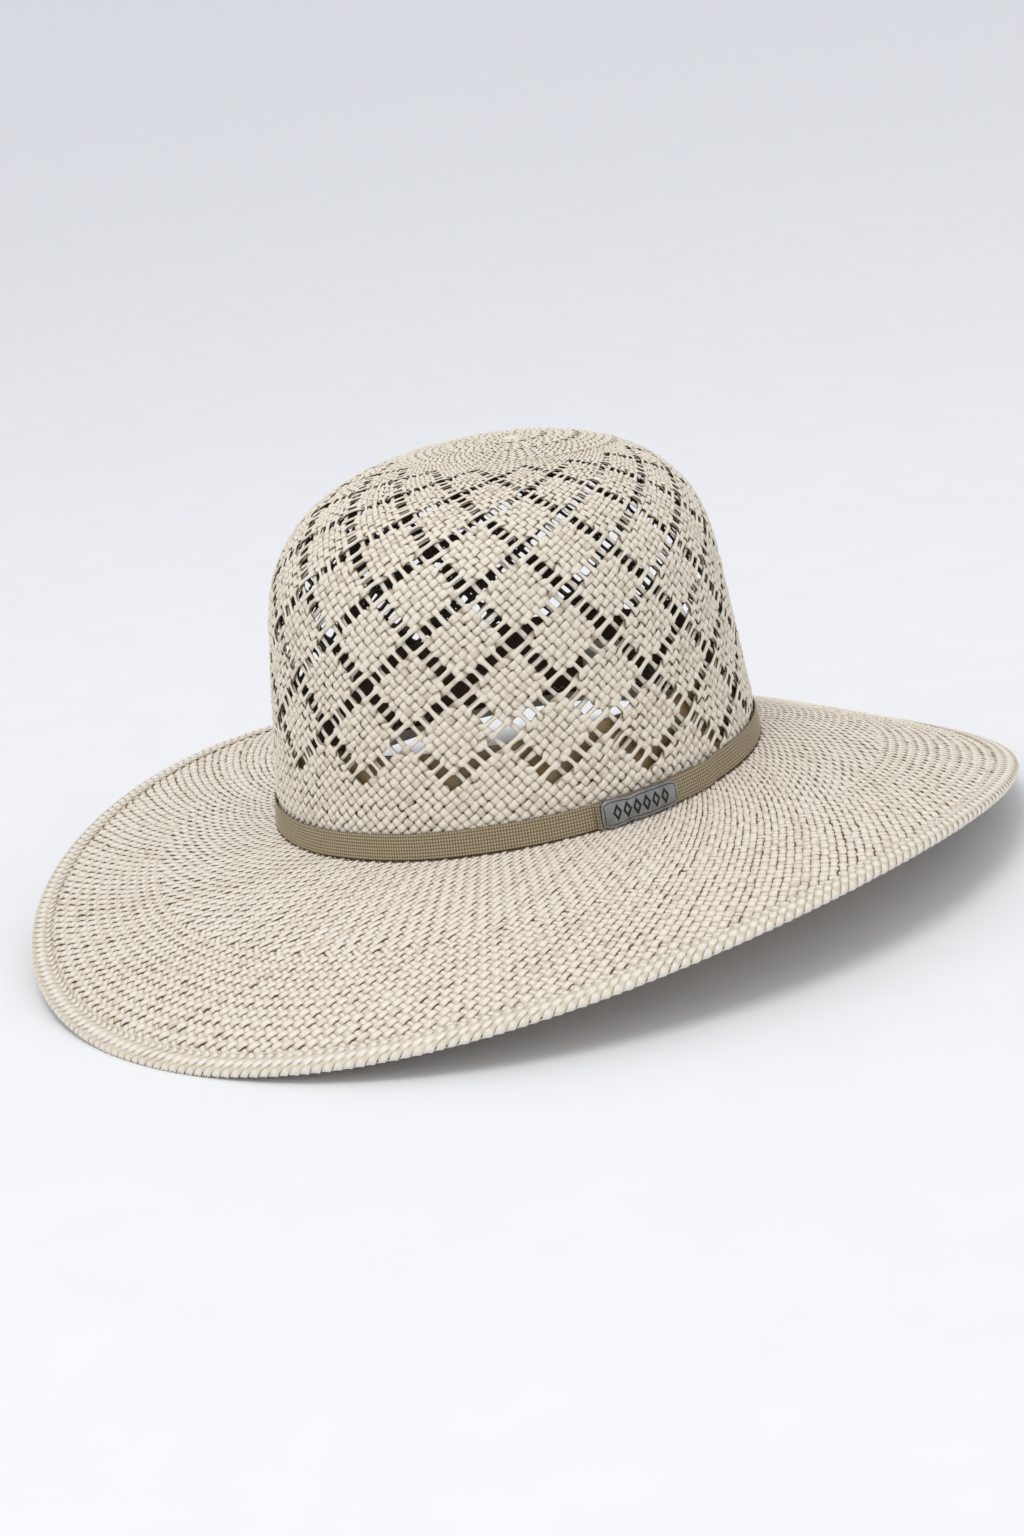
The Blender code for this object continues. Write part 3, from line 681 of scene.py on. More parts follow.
def make_ribbon(paint):
    """Grosgrain: ribs across it and eight rows of fine threads along it."""
    length = math.tau + RIBBON_START - RIBBON_END
    ribs = int(length * MEAN_RADIUS / RIB_PITCH)
    travelled = np.linspace(0, length, ribs * RIB_SAMPLES + 1)
    angle = RIBBON_START - travelled
    climb = smooth(CLIMB_END - CLIMB_LENGTH, CLIMB_END, travelled)
    offset = RIBBON_OFFSET + (OVERLAP_OFFSET - RIBBON_OFFSET) * climb
    across = np.linspace(0, 1, 2 * RIBBON_ROWS + 9)
    rib = np.cos(math.tau * np.arange(len(travelled)) / RIB_SAMPLES)
    row = -np.cos(math.tau * RIBBON_ROWS * across)
    round_edge = quarter_round(np.minimum(across, 1 - across) / RIBBON_EDGE_SHARE)
    slow, quick = RIBBON_SWAY
    bottom = RIBBON_BOTTOM + slow * np.sin(3 * angle + 1) + quick * np.sin(11 * angle)
    rows = []
    for share, thread, rounded in zip(across, row, round_edge):
        relief = (RIB_RELIEF * rib + ROW_RELIEF * thread) * rounded
        half = RIBBON_THICKNESS / 2 * (RIBBON_EDGE_THINNESS + (1 - RIBBON_EDGE_THINNESS) * rounded)
        rows.append(oval(angle, offset + half + relief, bottom + BAND_HEIGHT * share))
    behind = (0.985, 0.5, 0.015)
    for share in behind:
        rows.append(oval(angle, offset - RIBBON_THICKNESS / 2, bottom + BAND_HEIGHT * share))
    rings = np.array(rows).transpose(1, 0, 2)[:, ::-1]
    shares = np.concatenate([across, behind])[::-1]
    fibre = fibre_of(rings, (np.arange(len(travelled)) / RIB_SAMPLES)[:, None], shares)
    dress(tube_piece("hatband_grosgrain", rings, fibre), paint, "grosgrain", "hatband_ribbon")


def plaque_half_height(share):
    """Half of the plaque's height along it: a round front lobe, a slight waist, then a long bar."""
    rounding = quarter_round(np.minimum(share, 1 - share) / PLAQUE_END_SHARE)
    depth, place, spread = WAIST
    waist = depth * np.exp(-(((share - place) / spread) ** 2))
    lobe = PLAQUE_HALF_HEIGHT - PLAQUE_NARROWING * share
    return (lobe - waist) * (PLAQUE_BLUNTNESS + (1 - PLAQUE_BLUNTNESS) * rounding)


def engraving(along, up, half):
    """Depth share of the engraved border line and of the row of small diamonds, at places in metres."""
    rim = np.minimum(half - np.abs(up), np.minimum(along, PLAQUE_LENGTH - along))
    border = 1 - smooth(*BORDER_LINE, np.abs(rim - BORDER_INSET))
    pitch = PLAQUE_LENGTH / DIAMOND_PITCHES
    place = (along - pitch) % pitch - pitch / 2
    inside = (along > pitch) & (along < PLAQUE_LENGTH - pitch)
    diamond = np.abs(place) / (pitch * DIAMOND_HALF_WIDTH) + np.abs(up) / DIAMOND_HALF_HEIGHT
    lines = 1 - smooth(*DIAMOND_LINE, np.abs(diamond - DIAMOND_RING))
    return np.maximum(border, lines * inside)


def make_plaque(paint):
    """The curved steel plaque, with its bevel, engraved border and diamonds."""
    shares = np.concatenate([[0, 0.0015], np.linspace(0.005, 0.995, 240), [0.9985, 1]])
    across = np.concatenate([[-1, -0.985, -0.965], np.linspace(-0.945, 0.945, 64), [0.965, 0.985, 1]])
    angle = PLAQUE_START + (PLAQUE_END - PLAQUE_START) * shares
    half = plaque_half_height(shares)
    ends = quarter_round(np.minimum(shares, 1 - shares) * PLAQUE_LENGTH / END_BEVEL_WIDTH)
    rows, cut = [], []
    for place in across:
        bevel = np.minimum(quarter_round((1 - abs(place)) * half / BEVEL_WIDTH), ends)
        face = PLAQUE_BACK + PLAQUE_THICKNESS * (PLAQUE_RIM + (1 - PLAQUE_RIM) * bevel)
        groove = engraving(shares * PLAQUE_LENGTH, place * half, half)
        face = face + PLAQUE_CROWN * (1 - place**2) - GROOVE_DEPTH * groove
        rows.append(oval(angle, face, PLAQUE_MIDDLE + place * half))
        cut.append(groove)
    for place in (1, 0, -1):
        rows.append(oval(angle, PLAQUE_BACK, PLAQUE_MIDDLE + place * half))
        cut.append(np.zeros_like(half))
    rings = np.array(rows).transpose(1, 0, 2)
    along = (shares * PLAQUE_LENGTH / MM)[:, None]
    bundle = Bundle()
    bundle.add_tube(rings, fibre_of(rings, along, np.concatenate([across, [1, 0, -1]]), np.array(cut).T))
    add_rivets(bundle)
    dress(bundle.build("hatband_plaque"), paint, "plaque_steel", "plaque")


def add_rivets(bundle):
    """The two short studs behind the plaque."""
    turns = full_turn(12)
    upright = np.array([0, 0, 1.0])
    for share in RIVET_SHARES:
        angle = np.array(PLAQUE_START + (PLAQUE_END - PLAQUE_START) * share)
        tip = oval(angle, RIVET_TIP, PLAQUE_MIDDLE)
        root = oval(angle, PLAQUE_BACK + RIVET_SEAT, PLAQUE_MIDDLE)
        side = unit(np.cross(unit(root - tip), upright))
        ring = RIVET_RADIUS * (np.cos(turns)[:, None] * side + np.sin(turns)[:, None] * upright)
        rings = np.array([tip + ring * RIVET_TAPER, tip + ring, root + ring])
        bundle.add_tube(rings[:, ::-1], fibre_of(rings))


# ---- inside: sweatband and trim

LEATHER_OFFSET = -0.00385
LEATHER_THICKNESS = 0.0009
LEATHER_INNER_FACE = LEATHER_OFFSET - LEATHER_THICKNESS / 2
LEATHER_GAP = math.radians(0.15)  # half of the joint at the rear
REAR = math.pi
COVER_OFFSET = LEATHER_INNER_FACE - 0.0012  # of the leather cover over that joint
COVER_THICKNESS = 0.0006
COVER_HALF_ANGLE = math.radians(2.6)
LABEL_OFFSET = LEATHER_INNER_FACE - 0.000425
LABEL_THICKNESS = 0.00025
LABEL_ANGLES = (math.radians(198), math.radians(210))
REED_OFFSET = -0.0043  # middle of the reed that the tape wraps
REED_HEIGHT = -0.0006
TAPE_RADIUS = 0.00135
TAPE_OUTER_OFFSET = -0.00295
TAPE_TOP = 0.005
TAPE_INNER_TOP = 0.0025
TAPE_THICKNESS = 0.0003
THREAD_RADIUS = 0.00015
THREAD_SIDES = 6
ZIGZAG_POINTS = 360
ZIGZAG_HEIGHT = 0.0045
ZIGZAG_SWING = 0.0008
ZIGZAG_STANDOFF = 0.00035
SEAM_OFFSET = -0.00295
SEAM_HEIGHT = 0.0085
EDGE_STITCHES = 330
EDGE_THREAD_RADIUS = 0.00014
EDGE_THREAD_INSET = 0.0006
EDGE_THREAD_RISE = (0.0006, 0.00045)  # at a stitch's ends, and more at its middle
BOW_HEIGHT = 0.011
BOW_START = 0.0022  # along and inwards from the middle of the bow
BOW_LENGTH = 0.0104
LOOP_DEPTH = 0.0013
BOW_HALF_THICKNESS = 0.0002
BOW_HALF_HEIGHT = 0.0025
BOW_LEVELS = (-1, -0.5, 0, 0.5, 1)
KNOT_SIZE = (0.0016, 0.0015, 0.0028)
KNOT_SQUARENESS = 0.7


def make_strip(name, paint, slot, node, angle, heights, offset, thickness):
    """A strip of soft material round the inside, with thinner edges."""
    rows = []
    count = len(heights)
    for face in (-1, 1):
        for k in range(count)[:: -face]:
            rim = min(k, count - 1 - k) / (count - 1) * count / 2
            half = thickness / 2 * (0.55 + 0.45 * min(rim, 1))
            rows.append(oval(angle, offset + face * half, heights[k]))
    rings = np.array(rows).transpose(1, 0, 2)
    up = np.concatenate([heights, heights[::-1]]) / MM
    grain_side = np.repeat([1.0, 0.0], count)
    fibre = fibre_of(rings, (angle * MEAN_RADIUS / MM)[:, None], up, grain_side)
    dress(tube_piece(name, rings[:, ::-1], fibre[:, ::-1]), paint, slot, node)


def add_thread(bundle, points, radius, closed=True):
    """A round thread along points."""
    if closed:
        tangent = unit(np.roll(points, -1, axis=0) - np.roll(points, 1, axis=0))
    else:
        tangent = unit(np.gradient(points, axis=0))
    side = unit(np.cross(tangent, [0.0, 0.0, 1.0]))
    up = np.cross(side, tangent)
    turn = math.tau * np.arange(THREAD_SIDES) / THREAD_SIDES
    ring = np.cos(turn)[:, None] * side[:, None] + np.sin(turn)[:, None] * up[:, None]
    rings = points[:, None] + radius * ring
    bundle.add_tube(rings[:, ::-1], fibre_of(rings, np.arange(len(points))[:, None]), closed)


def make_sweatband(paint):
    angle = np.linspace(REAR + LEATHER_GAP, REAR + math.tau - LEATHER_GAP, 361)
    heights = np.concatenate([[0.001, 0.0013], np.linspace(0.002, 0.036, 24), [0.0367, 0.037]])
    names = ("sweatband_leather", paint, "sweatband_leather", "sweatband")
    make_strip(*names, angle, heights, LEATHER_OFFSET, LEATHER_THICKNESS)


def make_patch(paint):
    angle = np.linspace(REAR - COVER_HALF_ANGLE, REAR + COVER_HALF_ANGLE, 22)
    heights = np.concatenate([[0.0035, 0.0038], np.linspace(0.005, 0.034, 16), [0.0352, 0.0355]])
    names = ("sweatband_rear_cover", paint, "sweatband_leather", "sweatband_rear_patch")
    make_strip(*names, angle, heights, COVER_OFFSET, COVER_THICKNESS)


def make_tape(paint):
    """The cotton tape that wraps the reed."""
    turn = np.append(np.linspace(0, -math.pi, 13), -math.pi)
    offsets = np.concatenate([[TAPE_OUTER_OFFSET] * 3, REED_OFFSET + TAPE_RADIUS * np.cos(turn)])
    under = REED_HEIGHT + TAPE_RADIUS * np.sin(turn[:-1])
    heights = np.concatenate([[TAPE_TOP, 0.003, 0.001], under, [TAPE_INNER_TOP]])
    angle = full_turn(240)
    rings = bent_strip(angle, offsets, heights, TAPE_THICKNESS)
    fibre = fibre_of(rings, (angle * MEAN_RADIUS / MM)[:, None], np.arange(rings.shape[1]))
    tape = tube_piece("reed_cotton_tape", rings[:, ::-1], fibre, closed=True)
    dress(tape, paint, "cotton_tape", "reed_tape")


def make_stitching(paint):
    """Zigzag on the leather, the running line of the crown's seam and the lock-stitch inside the fold."""
    bundle = Bundle()
    angle = full_turn(ZIGZAG_POINTS)
    height = ZIGZAG_HEIGHT + ZIGZAG_SWING * np.where(np.arange(ZIGZAG_POINTS) % 2, 1, -1)
    add_thread(bundle, oval(angle, LEATHER_INNER_FACE - ZIGZAG_STANDOFF, height), THREAD_RADIUS)
    dress(bundle.build("sweatband_zigzag"), paint, "thread", "sweatband_stitching")
    bundle = Bundle()
    add_thread(bundle, oval(angle, SEAM_OFFSET, SEAM_HEIGHT), THREAD_RADIUS)
    dress(bundle.build("crown_seam_thread"), paint, "thread", "crown_seam_stitching")
    bundle = Bundle()
    low, more = EDGE_THREAD_RISE
    rise = low + more * np.sin(np.linspace(0, math.pi, 7))
    for k in range(EDGE_STITCHES):
        turn = math.tau * (k + np.linspace(0.08, 0.92, 7)) / EDGE_STITCHES
        points = brim(turn, brim_reach(turn) - FOLD_REACH - EDGE_THREAD_INSET, rise)
        add_thread(bundle, points, EDGE_THREAD_RADIUS, closed=False)
    dress(bundle.build("brim_edge_thread"), paint, "thread", "brim_edge_stitching")


def make_bow(paint):
    """The flat satin bow at the rear: two teardrop loops and a knot."""
    base = oval(np.array(REAR), COVER_OFFSET, BOW_HEIGHT)
    for name, side in (("left", 1), ("right", -1)):
        rings, fibre = bow_loop(base, side)
        loop = tube_piece(f"rear_bow_satin_{name}", rings, fibre, closed=True)
        dress(loop, paint, "bow_satin", f"rear_bow_{name}_loop")
    rings = bow_knot(base)
    knot = tube_piece("rear_bow_satin_knot", rings, fibre_of(rings, np.arange(len(rings))[:, None]))
    dress(knot, paint, "bow_satin", "rear_bow_knot")


def bow_loop(base, side):
    """A teardrop of upright ribbon, narrower where it enters the knot."""
    turn = full_turn(48)
    swell = (1 - np.cos(turn)) / 2
    along = side * (BOW_START + BOW_LENGTH * swell)
    inwards = BOW_START + LOOP_DEPTH * np.sin(turn) * (0.35 + 0.65 * swell)
    path = np.stack([base[0] + along, base[1] - inwards], -1)
    tangent = unit(np.roll(path, -1, axis=0) - np.roll(path, 1, axis=0))
    square = np.stack([tangent[:, 1], -tangent[:, 0]], -1)
    pinch = 0.55 + 0.45 * np.sqrt(swell)
    rows = []
    for face in (1, -1):
        for level in BOW_LEVELS[::face]:
            flat = path + square * face * BOW_HALF_THICKNESS
            height = base[2] + level * BOW_HALF_HEIGHT * pinch + 0.0002 * np.sin(3 * turn) * level
            rows.append(np.concatenate([flat, height[:, None]], axis=1))
    rings = np.array(rows).transpose(1, 0, 2)
    fibre = fibre_of(rings, (swell * 12)[:, None], BOW_LEVELS + BOW_LEVELS[::-1])
    return (rings if side < 0 else rings[:, ::-1]), fibre


def bow_knot(base):
    """A small upright roll with creases."""
    turns = full_turn(24)
    wide, deep, tall = KNOT_SIZE
    rings = []
    for share in np.linspace(-1, 1, 13):
        shape = math.sqrt(max(1 - abs(share) ** 4, 0.02))
        crease = 1 - 0.08 * np.cos(5 * turns)
        x = wide * shape * np.sign(np.cos(turns)) * np.abs(np.cos(turns)) ** KNOT_SQUARENESS * crease
        y = deep * shape * np.sign(np.sin(turns)) * np.abs(np.sin(turns)) ** KNOT_SQUARENESS
        z = np.full_like(x, base[2] + tall * share)
        rings.append(np.stack([base[0] + x, base[1] - BOW_START + y, z], -1))
    return np.array(rings)


def make_label(paint):
    angle = np.linspace(*LABEL_ANGLES, 50)
    heights = np.linspace(0.012, 0.024, 26)
    names = ("blank_woven_label", paint, "label", "size_label")
    make_strip(*names, angle, heights, LABEL_OFFSET, LABEL_THICKNESS)


# ---- materials

PATCH_SEEDS = 61.0  # these two set each strand's noise far from the next one's
STREAK_SEEDS = 97.0
STREAK_LENGTH = 0.22
STREAKS = 4.5


def rgba(colour):
    return colour if isinstance(colour, bpy.types.NodeSocket) else (*colour, 1)


class Paint:
    """A procedural material and short ways to add nodes to it."""

    def __init__(self, name, roughness=0.6, metallic=0.0, specular=0.5, sheen=0.0):
        self.material = bpy.data.materials.new(name)
        self.material.use_nodes = True
        self.tree = self.material.node_tree
        self.shader = self.tree.nodes["Principled BSDF"]
        self.shader.inputs["Roughness"].default_value = roughness
        self.shader.inputs["Metallic"].default_value = metallic
        self.shader.inputs["Specular IOR Level"].default_value = specular
        self.shader.inputs["Sheen Weight"].default_value = sheen

    def node(self, kind, sockets, **settings):
        """A new node with these settings, and these values or links in its sockets."""
        made = self.tree.nodes.new(kind)
        for key, value in settings.items():
            setattr(made, key, value)
        for key, value in sockets.items():
            if isinstance(value, bpy.types.NodeSocket):
                self.tree.links.new(value, made.inputs[key])
            else:
                made.inputs[key].default_value = value
        return made

    def math(self, operation, *values):
        return self.node("ShaderNodeMath", dict(enumerate(values)), operation=operation).outputs[0]

    def times(self, first, second):
        return self.math("MULTIPLY", first, second)

    def blend(self, first, second, share):
        """The first value, with this share of the second in it."""
        return self.math("ADD", self.times(first, 1 - share), self.times(second, share))

    def attribute(self, name):
        return self.node("ShaderNodeAttribute", {}, attribute_name=name).outputs

    def place(self):
        return self.node("ShaderNodeTexCoord", {}).outputs["Object"]

    def vector(self, *values):
        return self.node("ShaderNodeCombineXYZ", dict(enumerate(values))).outputs[0]

    def parts(self, vector):
        return self.node("ShaderNodeSeparateXYZ", {0: vector}).outputs

    def fibre(self):
        return self.parts(self.attribute("fibre")["Vector"])

    def noise(self, vector, scale=1.0, detail=2.0, roughness=0.5):
        sockets = {"Vector": vector, "Scale": scale, "Detail": detail, "Roughness": roughness}
        return self.node("ShaderNodeTexNoise", sockets).outputs["Fac"]

    def range(self, value, low, high, to_low, to_high):
        sockets = {"Value": value, "From Min": low, "From Max": high, "To Min": to_low, "To Max": to_high}
        return self.node("ShaderNodeMapRange", sockets).outputs[0]

    def ramp(self, factor, *stops):
        made = self.node("ShaderNodeValToRGB", {0: factor})
        elements = made.color_ramp.elements
        while len(elements) < len(stops):
            elements.new(0.5)
        for element, (position, colour) in zip(elements, stops):
            element.position = position
            element.color = rgba(colour)
        return made.outputs[0]

    def mix(self, factor, first, second):
        """Two colours mixed; the node's colour sockets come after those for numbers and vectors."""
        sockets = {0: factor, 6: rgba(first), 7: rgba(second)}
        return self.node("ShaderNodeMix", sockets, data_type="RGBA").outputs[2]

    def colour(self, socket):
        self.tree.links.new(socket, self.shader.inputs["Base Color"])

    def vary_roughness(self, value, least, most):
        varied = self.range(value, 0.3, 0.7, least, most)
        self.tree.links.new(varied, self.shader.inputs["Roughness"])

    def bump(self, height, strength, distance):
        made = self.node("ShaderNodeBump", {"Strength": strength, "Distance": distance, "Height": height})
        self.tree.links.new(made.outputs[0], self.shader.inputs["Normal"])


def straw_paint(name, light, tan, painted_shade_colour, edge_shade, tan_share, patch, inside=None):
    """Split straw: cream, with beige strands and long fibre streaks, and painted shade along each strand's
    edges.

    It has painted shade where it dives under another strand, and, when given an inner colour, painted shade
    in that colour on its inner side.
    """
    paint = Paint(name, specular=0.5)
    along, across, tone = paint.fibre()
    patches = paint.vector(paint.times(along, patch), across, paint.times(tone, PATCH_SEEDS))
    slow = paint.noise(patches, 1.0, 2.0)
    stretched = (paint.times(along, STREAK_LENGTH), paint.times(across, STREAKS))
    streak = paint.noise(paint.vector(*stretched, paint.times(tone, STREAK_SEEDS)), 1.0, 3.0, 0.6)
    factor = paint.range(paint.blend(slow, tone, 0.25), 0.78 - tan_share, 0.95 - tan_share, 0.0, 0.75)
    base = paint.mix(factor, light, tan)
    streaked = paint.mix(paint.range(streak, 0.5, 0.78, 0.0, 0.55), base, tan)
    # Painted shade: browner towards each strand's sides, where it meets the next strand.
    edge = paint.math("POWER", paint.math("ABSOLUTE", across), 5.0)
    colour = paint.mix(paint.times(edge, edge_shade), streaked, painted_shade_colour)
    # Painted shadow where the strand dives under another one.
    shadow = paint.range(paint.attribute("sunk")["Fac"], 0.25, 0.85, 0.0, 0.7)
    colour = paint.mix(shadow, colour, painted_shade_colour)
    # Painted shade: the inner side of the strands takes this dark colour.
    if inside:
        colour = paint.mix(paint.attribute("inner")["Fac"], colour, inside)
    paint.colour(colour)
    paint.vary_roughness(streak, 0.34, 0.54)
    paint.bump(streak, 0.5, 0.00025)
    return paint.material


def shade_core_paint():
    """Speckled dark brown: painted shade, for the sheet between the brim's two layers of strands."""
    paint = Paint("painted_shade_core", 0.8, specular=0.2)
    speckle = paint.noise(paint.place(), 900.0, 3.0)
    paint.colour(paint.ramp(speckle, (0.35, (0.10, 0.065, 0.035)), (0.7, (0.22, 0.15, 0.085))))
    paint.bump(speckle, 0.3, 0.0002)
    return paint.material


def ribbon_paint():
    """Taupe grosgrain with a darker line along each edge."""
    paint = Paint("taupe_grosgrain", 0.82, specular=0.25, sheen=0.15)
    along, across, _ = paint.fibre()
    rib = paint.math("COSINE", paint.times(along, math.tau))
    row = paint.math("COSINE", paint.times(across, math.tau * RIBBON_ROWS))
    weave = paint.range(paint.math("SUBTRACT", rib, row), -2.0, 2.0, 0.0, 0.62)
    fleck = paint.noise(paint.vector(paint.times(along, 1.7), paint.times(across, 30.0), 0.0), 1.0, 3.0)
    level = paint.math("ADD", weave, paint.times(fleck, 0.38))
    # Painted shade and highlight: the colour follows the relief of ribs and rows, dark in the troughs and
    # light on the crests, with random flecks.
    painted_shade_troughs, slopes, painted_highlight_crests = (0.075, 0.055, 0.033), (0.265, 0.208, 0.125), (0.54, 0.44, 0.28)
    base = paint.ramp(level, (0.15, painted_shade_troughs), (0.5, slopes), (0.85, painted_highlight_crests))
    rim = paint.math("ABSOLUTE", paint.math("SUBTRACT", across, 0.5))
    paint.colour(paint.mix(paint.range(rim, 0.43, 0.47, 0.0, 0.35), base, (0.12, 0.095, 0.065)))
    paint.bump(level, 0.6, 0.00012)
    return paint.material


def steel_paint(name, light, dark, engraved):
    """Satin steel, brushed along its length, with dark engraved lines."""
    paint = Paint(name, 0.3, metallic=1.0)
    along, across, cut = paint.fibre()
    brush = paint.noise(paint.vector(paint.times(along, 0.35), paint.times(across, 42.0), 1.0), 1.0, 4.0)
    cloud = paint.noise(paint.place(), 140.0, 2.0)
    base = paint.ramp(paint.blend(brush, cloud, 0.5), (0.35, dark), (0.65, light))
    paint.colour(paint.mix(paint.times(cut, engraved), base, (0.02, 0.02, 0.022)))
    paint.vary_roughness(brush, 0.24, 0.42)
    paint.bump(brush, 0.12, 0.00005)
    return paint.material


def leather_paint(name, light, dark):
    """Leather with pores, in these colours on its grain side and tan on its flesh side, which faces out."""
    paint = Paint(name, 0.5, specular=0.4)
    place = paint.place()
    sockets = {"Vector": place, "Scale": 900.0}
    cells = paint.node("ShaderNodeTexVoronoi", sockets, feature="DISTANCE_TO_EDGE")
    grain = paint.range(cells.outputs["Distance"], 0.0, 0.25, 0.0, 1.0)
    cloud = paint.noise(place, 45.0, 4.0)
    shade = paint.blend(cloud, grain, 0.2)
    grain_side = paint.ramp(shade, (0.3, dark), (0.75, light))
    flesh_side = paint.ramp(shade, (0.3, (0.28, 0.19, 0.09)), (0.75, (0.46, 0.32, 0.16)))
    paint.colour(paint.mix(paint.fibre()[2], flesh_side, grain_side))
    paint.vary_roughness(cloud, 0.42, 0.6)
    paint.bump(grain, 0.35, 0.00015)
    return paint.material


def cloth_paint(name, light, dark, scale, roughness=0.8, sheen=0.1):
    """Fine plain-woven cloth, seen as crossing threads."""
    paint = Paint(name, roughness, specular=0.3, sheen=sheen)
    place = paint.place()
    x, y, z = paint.parts(place)
    level = paint.math("SINE", paint.times(z, scale))
    cross = paint.math("SINE", paint.times(paint.math("ADD", x, y), scale))
    weave = paint.times(level, cross)
    speckle = paint.noise(place, 400.0, 3.0)
    shade = paint.blend(paint.range(weave, -1.0, 1.0, 0.0, 1.0), speckle, 0.5)
    paint.colour(paint.ramp(shade, (0.25, dark), (0.75, light)))
    paint.bump(weave, 0.4, 0.0001)
    return paint.material


def dress(obj, material, slot, *nodes):
    obj.data.materials.clear()
    obj.data.materials.append(material)
    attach(obj, "root")
    if nodes:
        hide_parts(*nodes)


def dress_node(node, material):
    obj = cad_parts[node]
    obj.data.materials.clear()
    obj.data.materials.append(material)


# ---- stage, light and camera

AZIMUTH = math.radians(45.035)  # of the camera, from the hat's front to the wearer's left
ELEVATION = math.radians(17.336)
ROLL = math.radians(-7.95)
DISTANCE = 1.1473
SIDE_SHIFT = -0.00298
UP_SHIFT = 0.046937
TARGET_ABOVE_BAND = 0.05
FOCAL_LENGTH = 70.3
SENSOR = 36.0
FLOOR_HALF = 40.0
SOFTBOX_PLACE = (0.35, -0.7, 2.0)
SOFTBOX_AIM = (0, 0, 0.08)
SOFTBOX_SIZE = 1.0
SOFTBOX_POWER = 14.0
SOFTBOX_COLOUR = (1.0, 0.97, 0.92)
SKY_COLOUR = (0.93, 0.955, 1.0, 1)
SKY_STRENGTH = 0.86


def make_camera():
    reach = math.cos(ELEVATION)
    back = Vector((math.sin(AZIMUTH) * reach, -math.cos(AZIMUTH) * reach, math.sin(ELEVATION)))
    level = Vector((math.cos(AZIMUTH), math.sin(AZIMUTH), 0))
    upright = back.cross(level)
    right = level * math.cos(ROLL) + upright * math.sin(ROLL)
    up = upright * math.cos(ROLL) - level * math.sin(ROLL)
    data = bpy.data.cameras.new("camera")
    data.lens = FOCAL_LENGTH
    data.sensor_fit = "VERTICAL"
    data.sensor_height = SENSOR
    data.sensor_width = SENSOR
    data.clip_end = 100.0
    camera = add_object("camera", data)
    target = Vector((0, 0, BAND_LINE_Z + TARGET_ABOVE_BAND))
    matrix = Matrix((right, up, back)).transposed().to_4x4()
    matrix.translation = target + back * DISTANCE - right * SIDE_SHIFT - up * UP_SHIFT
    camera.matrix_world = matrix
    bpy.context.scene.camera = camera


def make_floor():
    mesh = bpy.data.meshes.new("floor")
    corners = [(x * FLOOR_HALF, y * FLOOR_HALF, 0) for x, y in ((-1, -1), (1, -1), (1, 1), (-1, 1))]
    mesh.from_pydata(corners, [], [(0, 1, 2, 3)])
    floor = add_object("floor", mesh)
    paint = Paint("floor_paper", 0.9, specular=0.1)
    speckle = paint.noise(paint.place(), 30.0, 2.0)
    paint.colour(paint.ramp(speckle, (0.3, (0.84, 0.845, 0.86)), (0.7, (0.86, 0.86, 0.87))))
    mesh.materials.append(paint.material)


def make_light():
    """An even pale sky and one soft light above."""
    world = bpy.data.worlds.new("studio")
    world.use_nodes = True
    background = world.node_tree.nodes["Background"]
    background.inputs["Color"].default_value = SKY_COLOUR
    background.inputs["Strength"].default_value = SKY_STRENGTH
    bpy.context.scene.world = world
    data = bpy.data.lights.new("overhead_softbox", "AREA")
    data.shape = "DISK"
    data.size = SOFTBOX_SIZE
    data.energy = SOFTBOX_POWER
    data.color = SOFTBOX_COLOUR
    light = add_object("overhead_softbox", data)
    light.location = SOFTBOX_PLACE
    light.rotation_mode = "QUATERNION"
    light.rotation_quaternion = (Vector(SOFTBOX_PLACE) - Vector(SOFTBOX_AIM)).to_track_quat("Z", "Y")


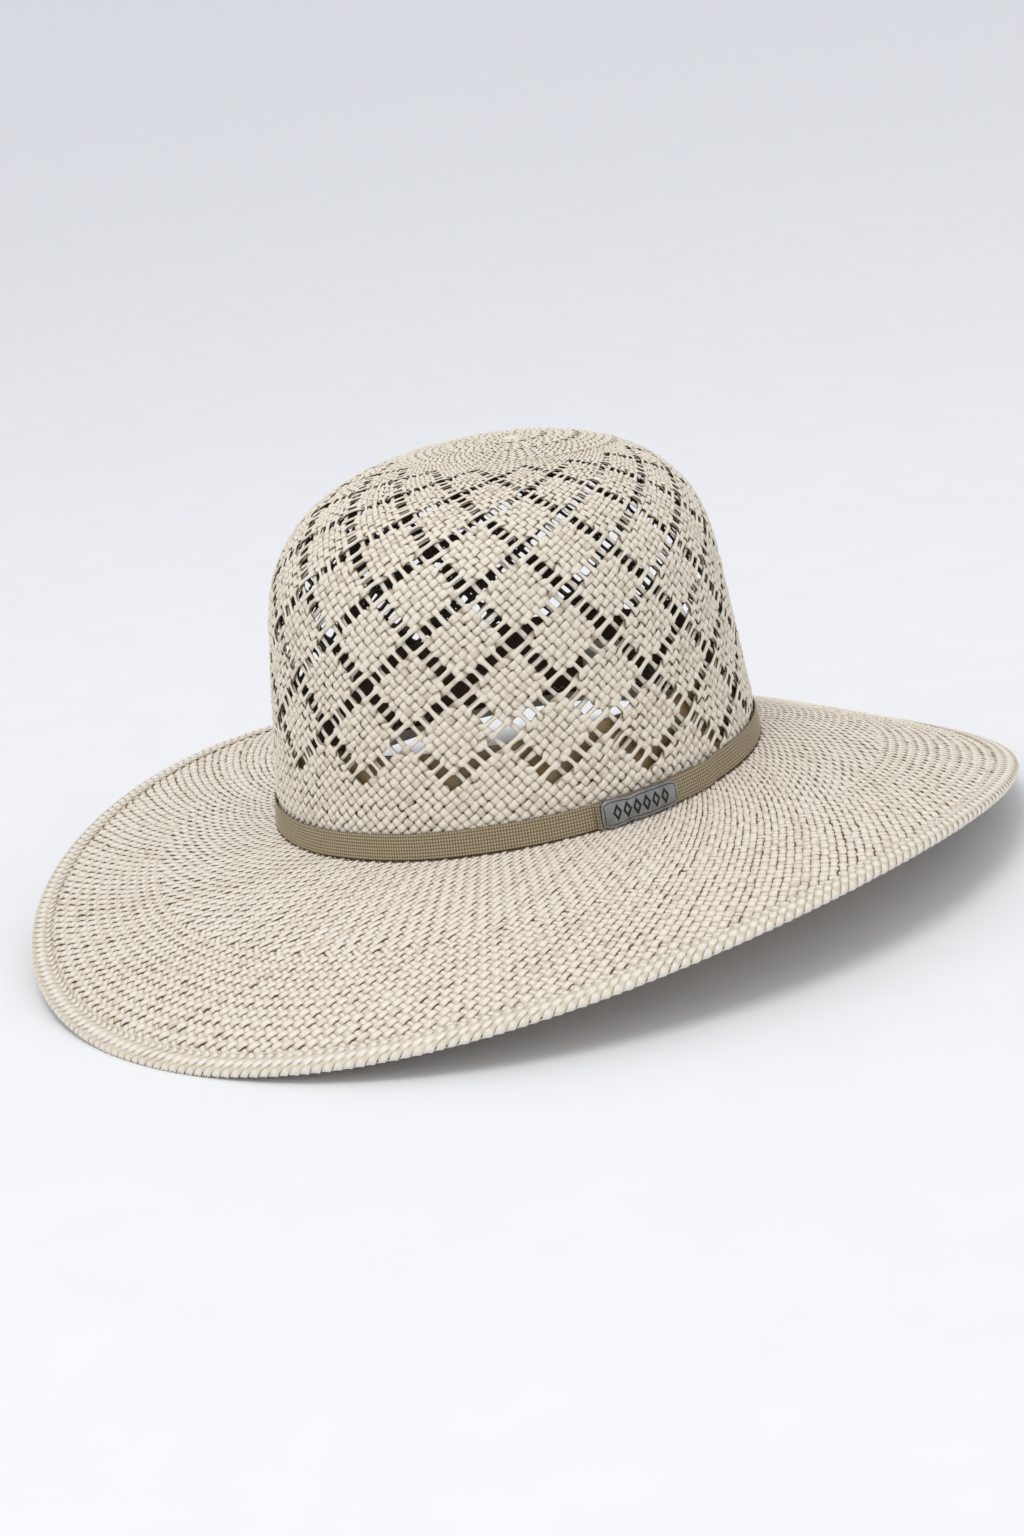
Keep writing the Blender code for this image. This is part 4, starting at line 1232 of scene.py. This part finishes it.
def main():
    bpy.context.scene.view_settings.view_transform = "Standard"
    make_camera()
    make_floor()
    make_light()
    tan = (0.56, 0.48, 0.37)
    # Painted shade for the inner side of the crown's strands.
    painted_inner_shade = (0.075, 0.055, 0.035)
    # The third colour of each straw is painted shade, at strand edges and where a strand dives under.
    crown_colours = ((0.825, 0.76, 0.645), tan, (0.30, 0.21, 0.12))
    brim_colours = ((0.85, 0.785, 0.69), (0.62, 0.535, 0.41), (0.46, 0.35, 0.225))
    edge_colours = ((0.85, 0.80, 0.71), tan, (0.62, 0.52, 0.38))
    make_crown(straw_paint("crown_straw", *crown_colours, 0.55, 0.25, 0.30, painted_inner_shade))
    make_brim(straw_paint("brim_straw", *brim_colours, 0.5, 0.22, 0.20))
    make_brim_core(shade_core_paint())
    make_fold(straw_paint("brim_edge_straw", *edge_colours, 0.4, 0.08, 0.2))
    make_ribbon(ribbon_paint())
    make_plaque(steel_paint("plaque_steel", (0.38, 0.378, 0.375), (0.19, 0.19, 0.192), 0.95))
    make_sweatband(leather_paint("sweatband_leather", (0.13, 0.075, 0.042), (0.065, 0.038, 0.022)))
    make_patch(leather_paint("rear_patch_leather", (0.11, 0.062, 0.035), (0.055, 0.032, 0.018)))
    make_tape(cloth_paint("cotton_tape", (0.66, 0.60, 0.49), (0.45, 0.40, 0.31), 9000.0))
    make_stitching(cloth_paint("thread", (0.80, 0.75, 0.65), (0.60, 0.54, 0.44), 14000.0, 0.7))
    make_bow(cloth_paint("bow_satin", (0.16, 0.12, 0.09), (0.08, 0.06, 0.045), 16000.0, 0.35, 0.3))
    make_label(cloth_paint("label_cloth", (0.84, 0.82, 0.77), (0.66, 0.64, 0.59), 12000.0))
    wire = steel_paint("spring_wire", (0.58, 0.58, 0.58), (0.40, 0.40, 0.40), 0.0)
    dress_node("brim_edge_wire", wire)
    dress_node("plaque_clip_plate", wire)
    reed = cloth_paint("reed_plastic", (0.78, 0.76, 0.70), (0.70, 0.68, 0.62), 2500.0, 0.4, 0.0)
    dress_node("sweatband_reed", reed)
    tack = cloth_paint("tack_thread", (0.33, 0.28, 0.21), (0.20, 0.165, 0.12), 14000.0)
    for node in ("ribbon_tack_rear_left", "ribbon_tack_rear_right", "ribbon_tack_right"):
        dress_node(node, tack)


main()
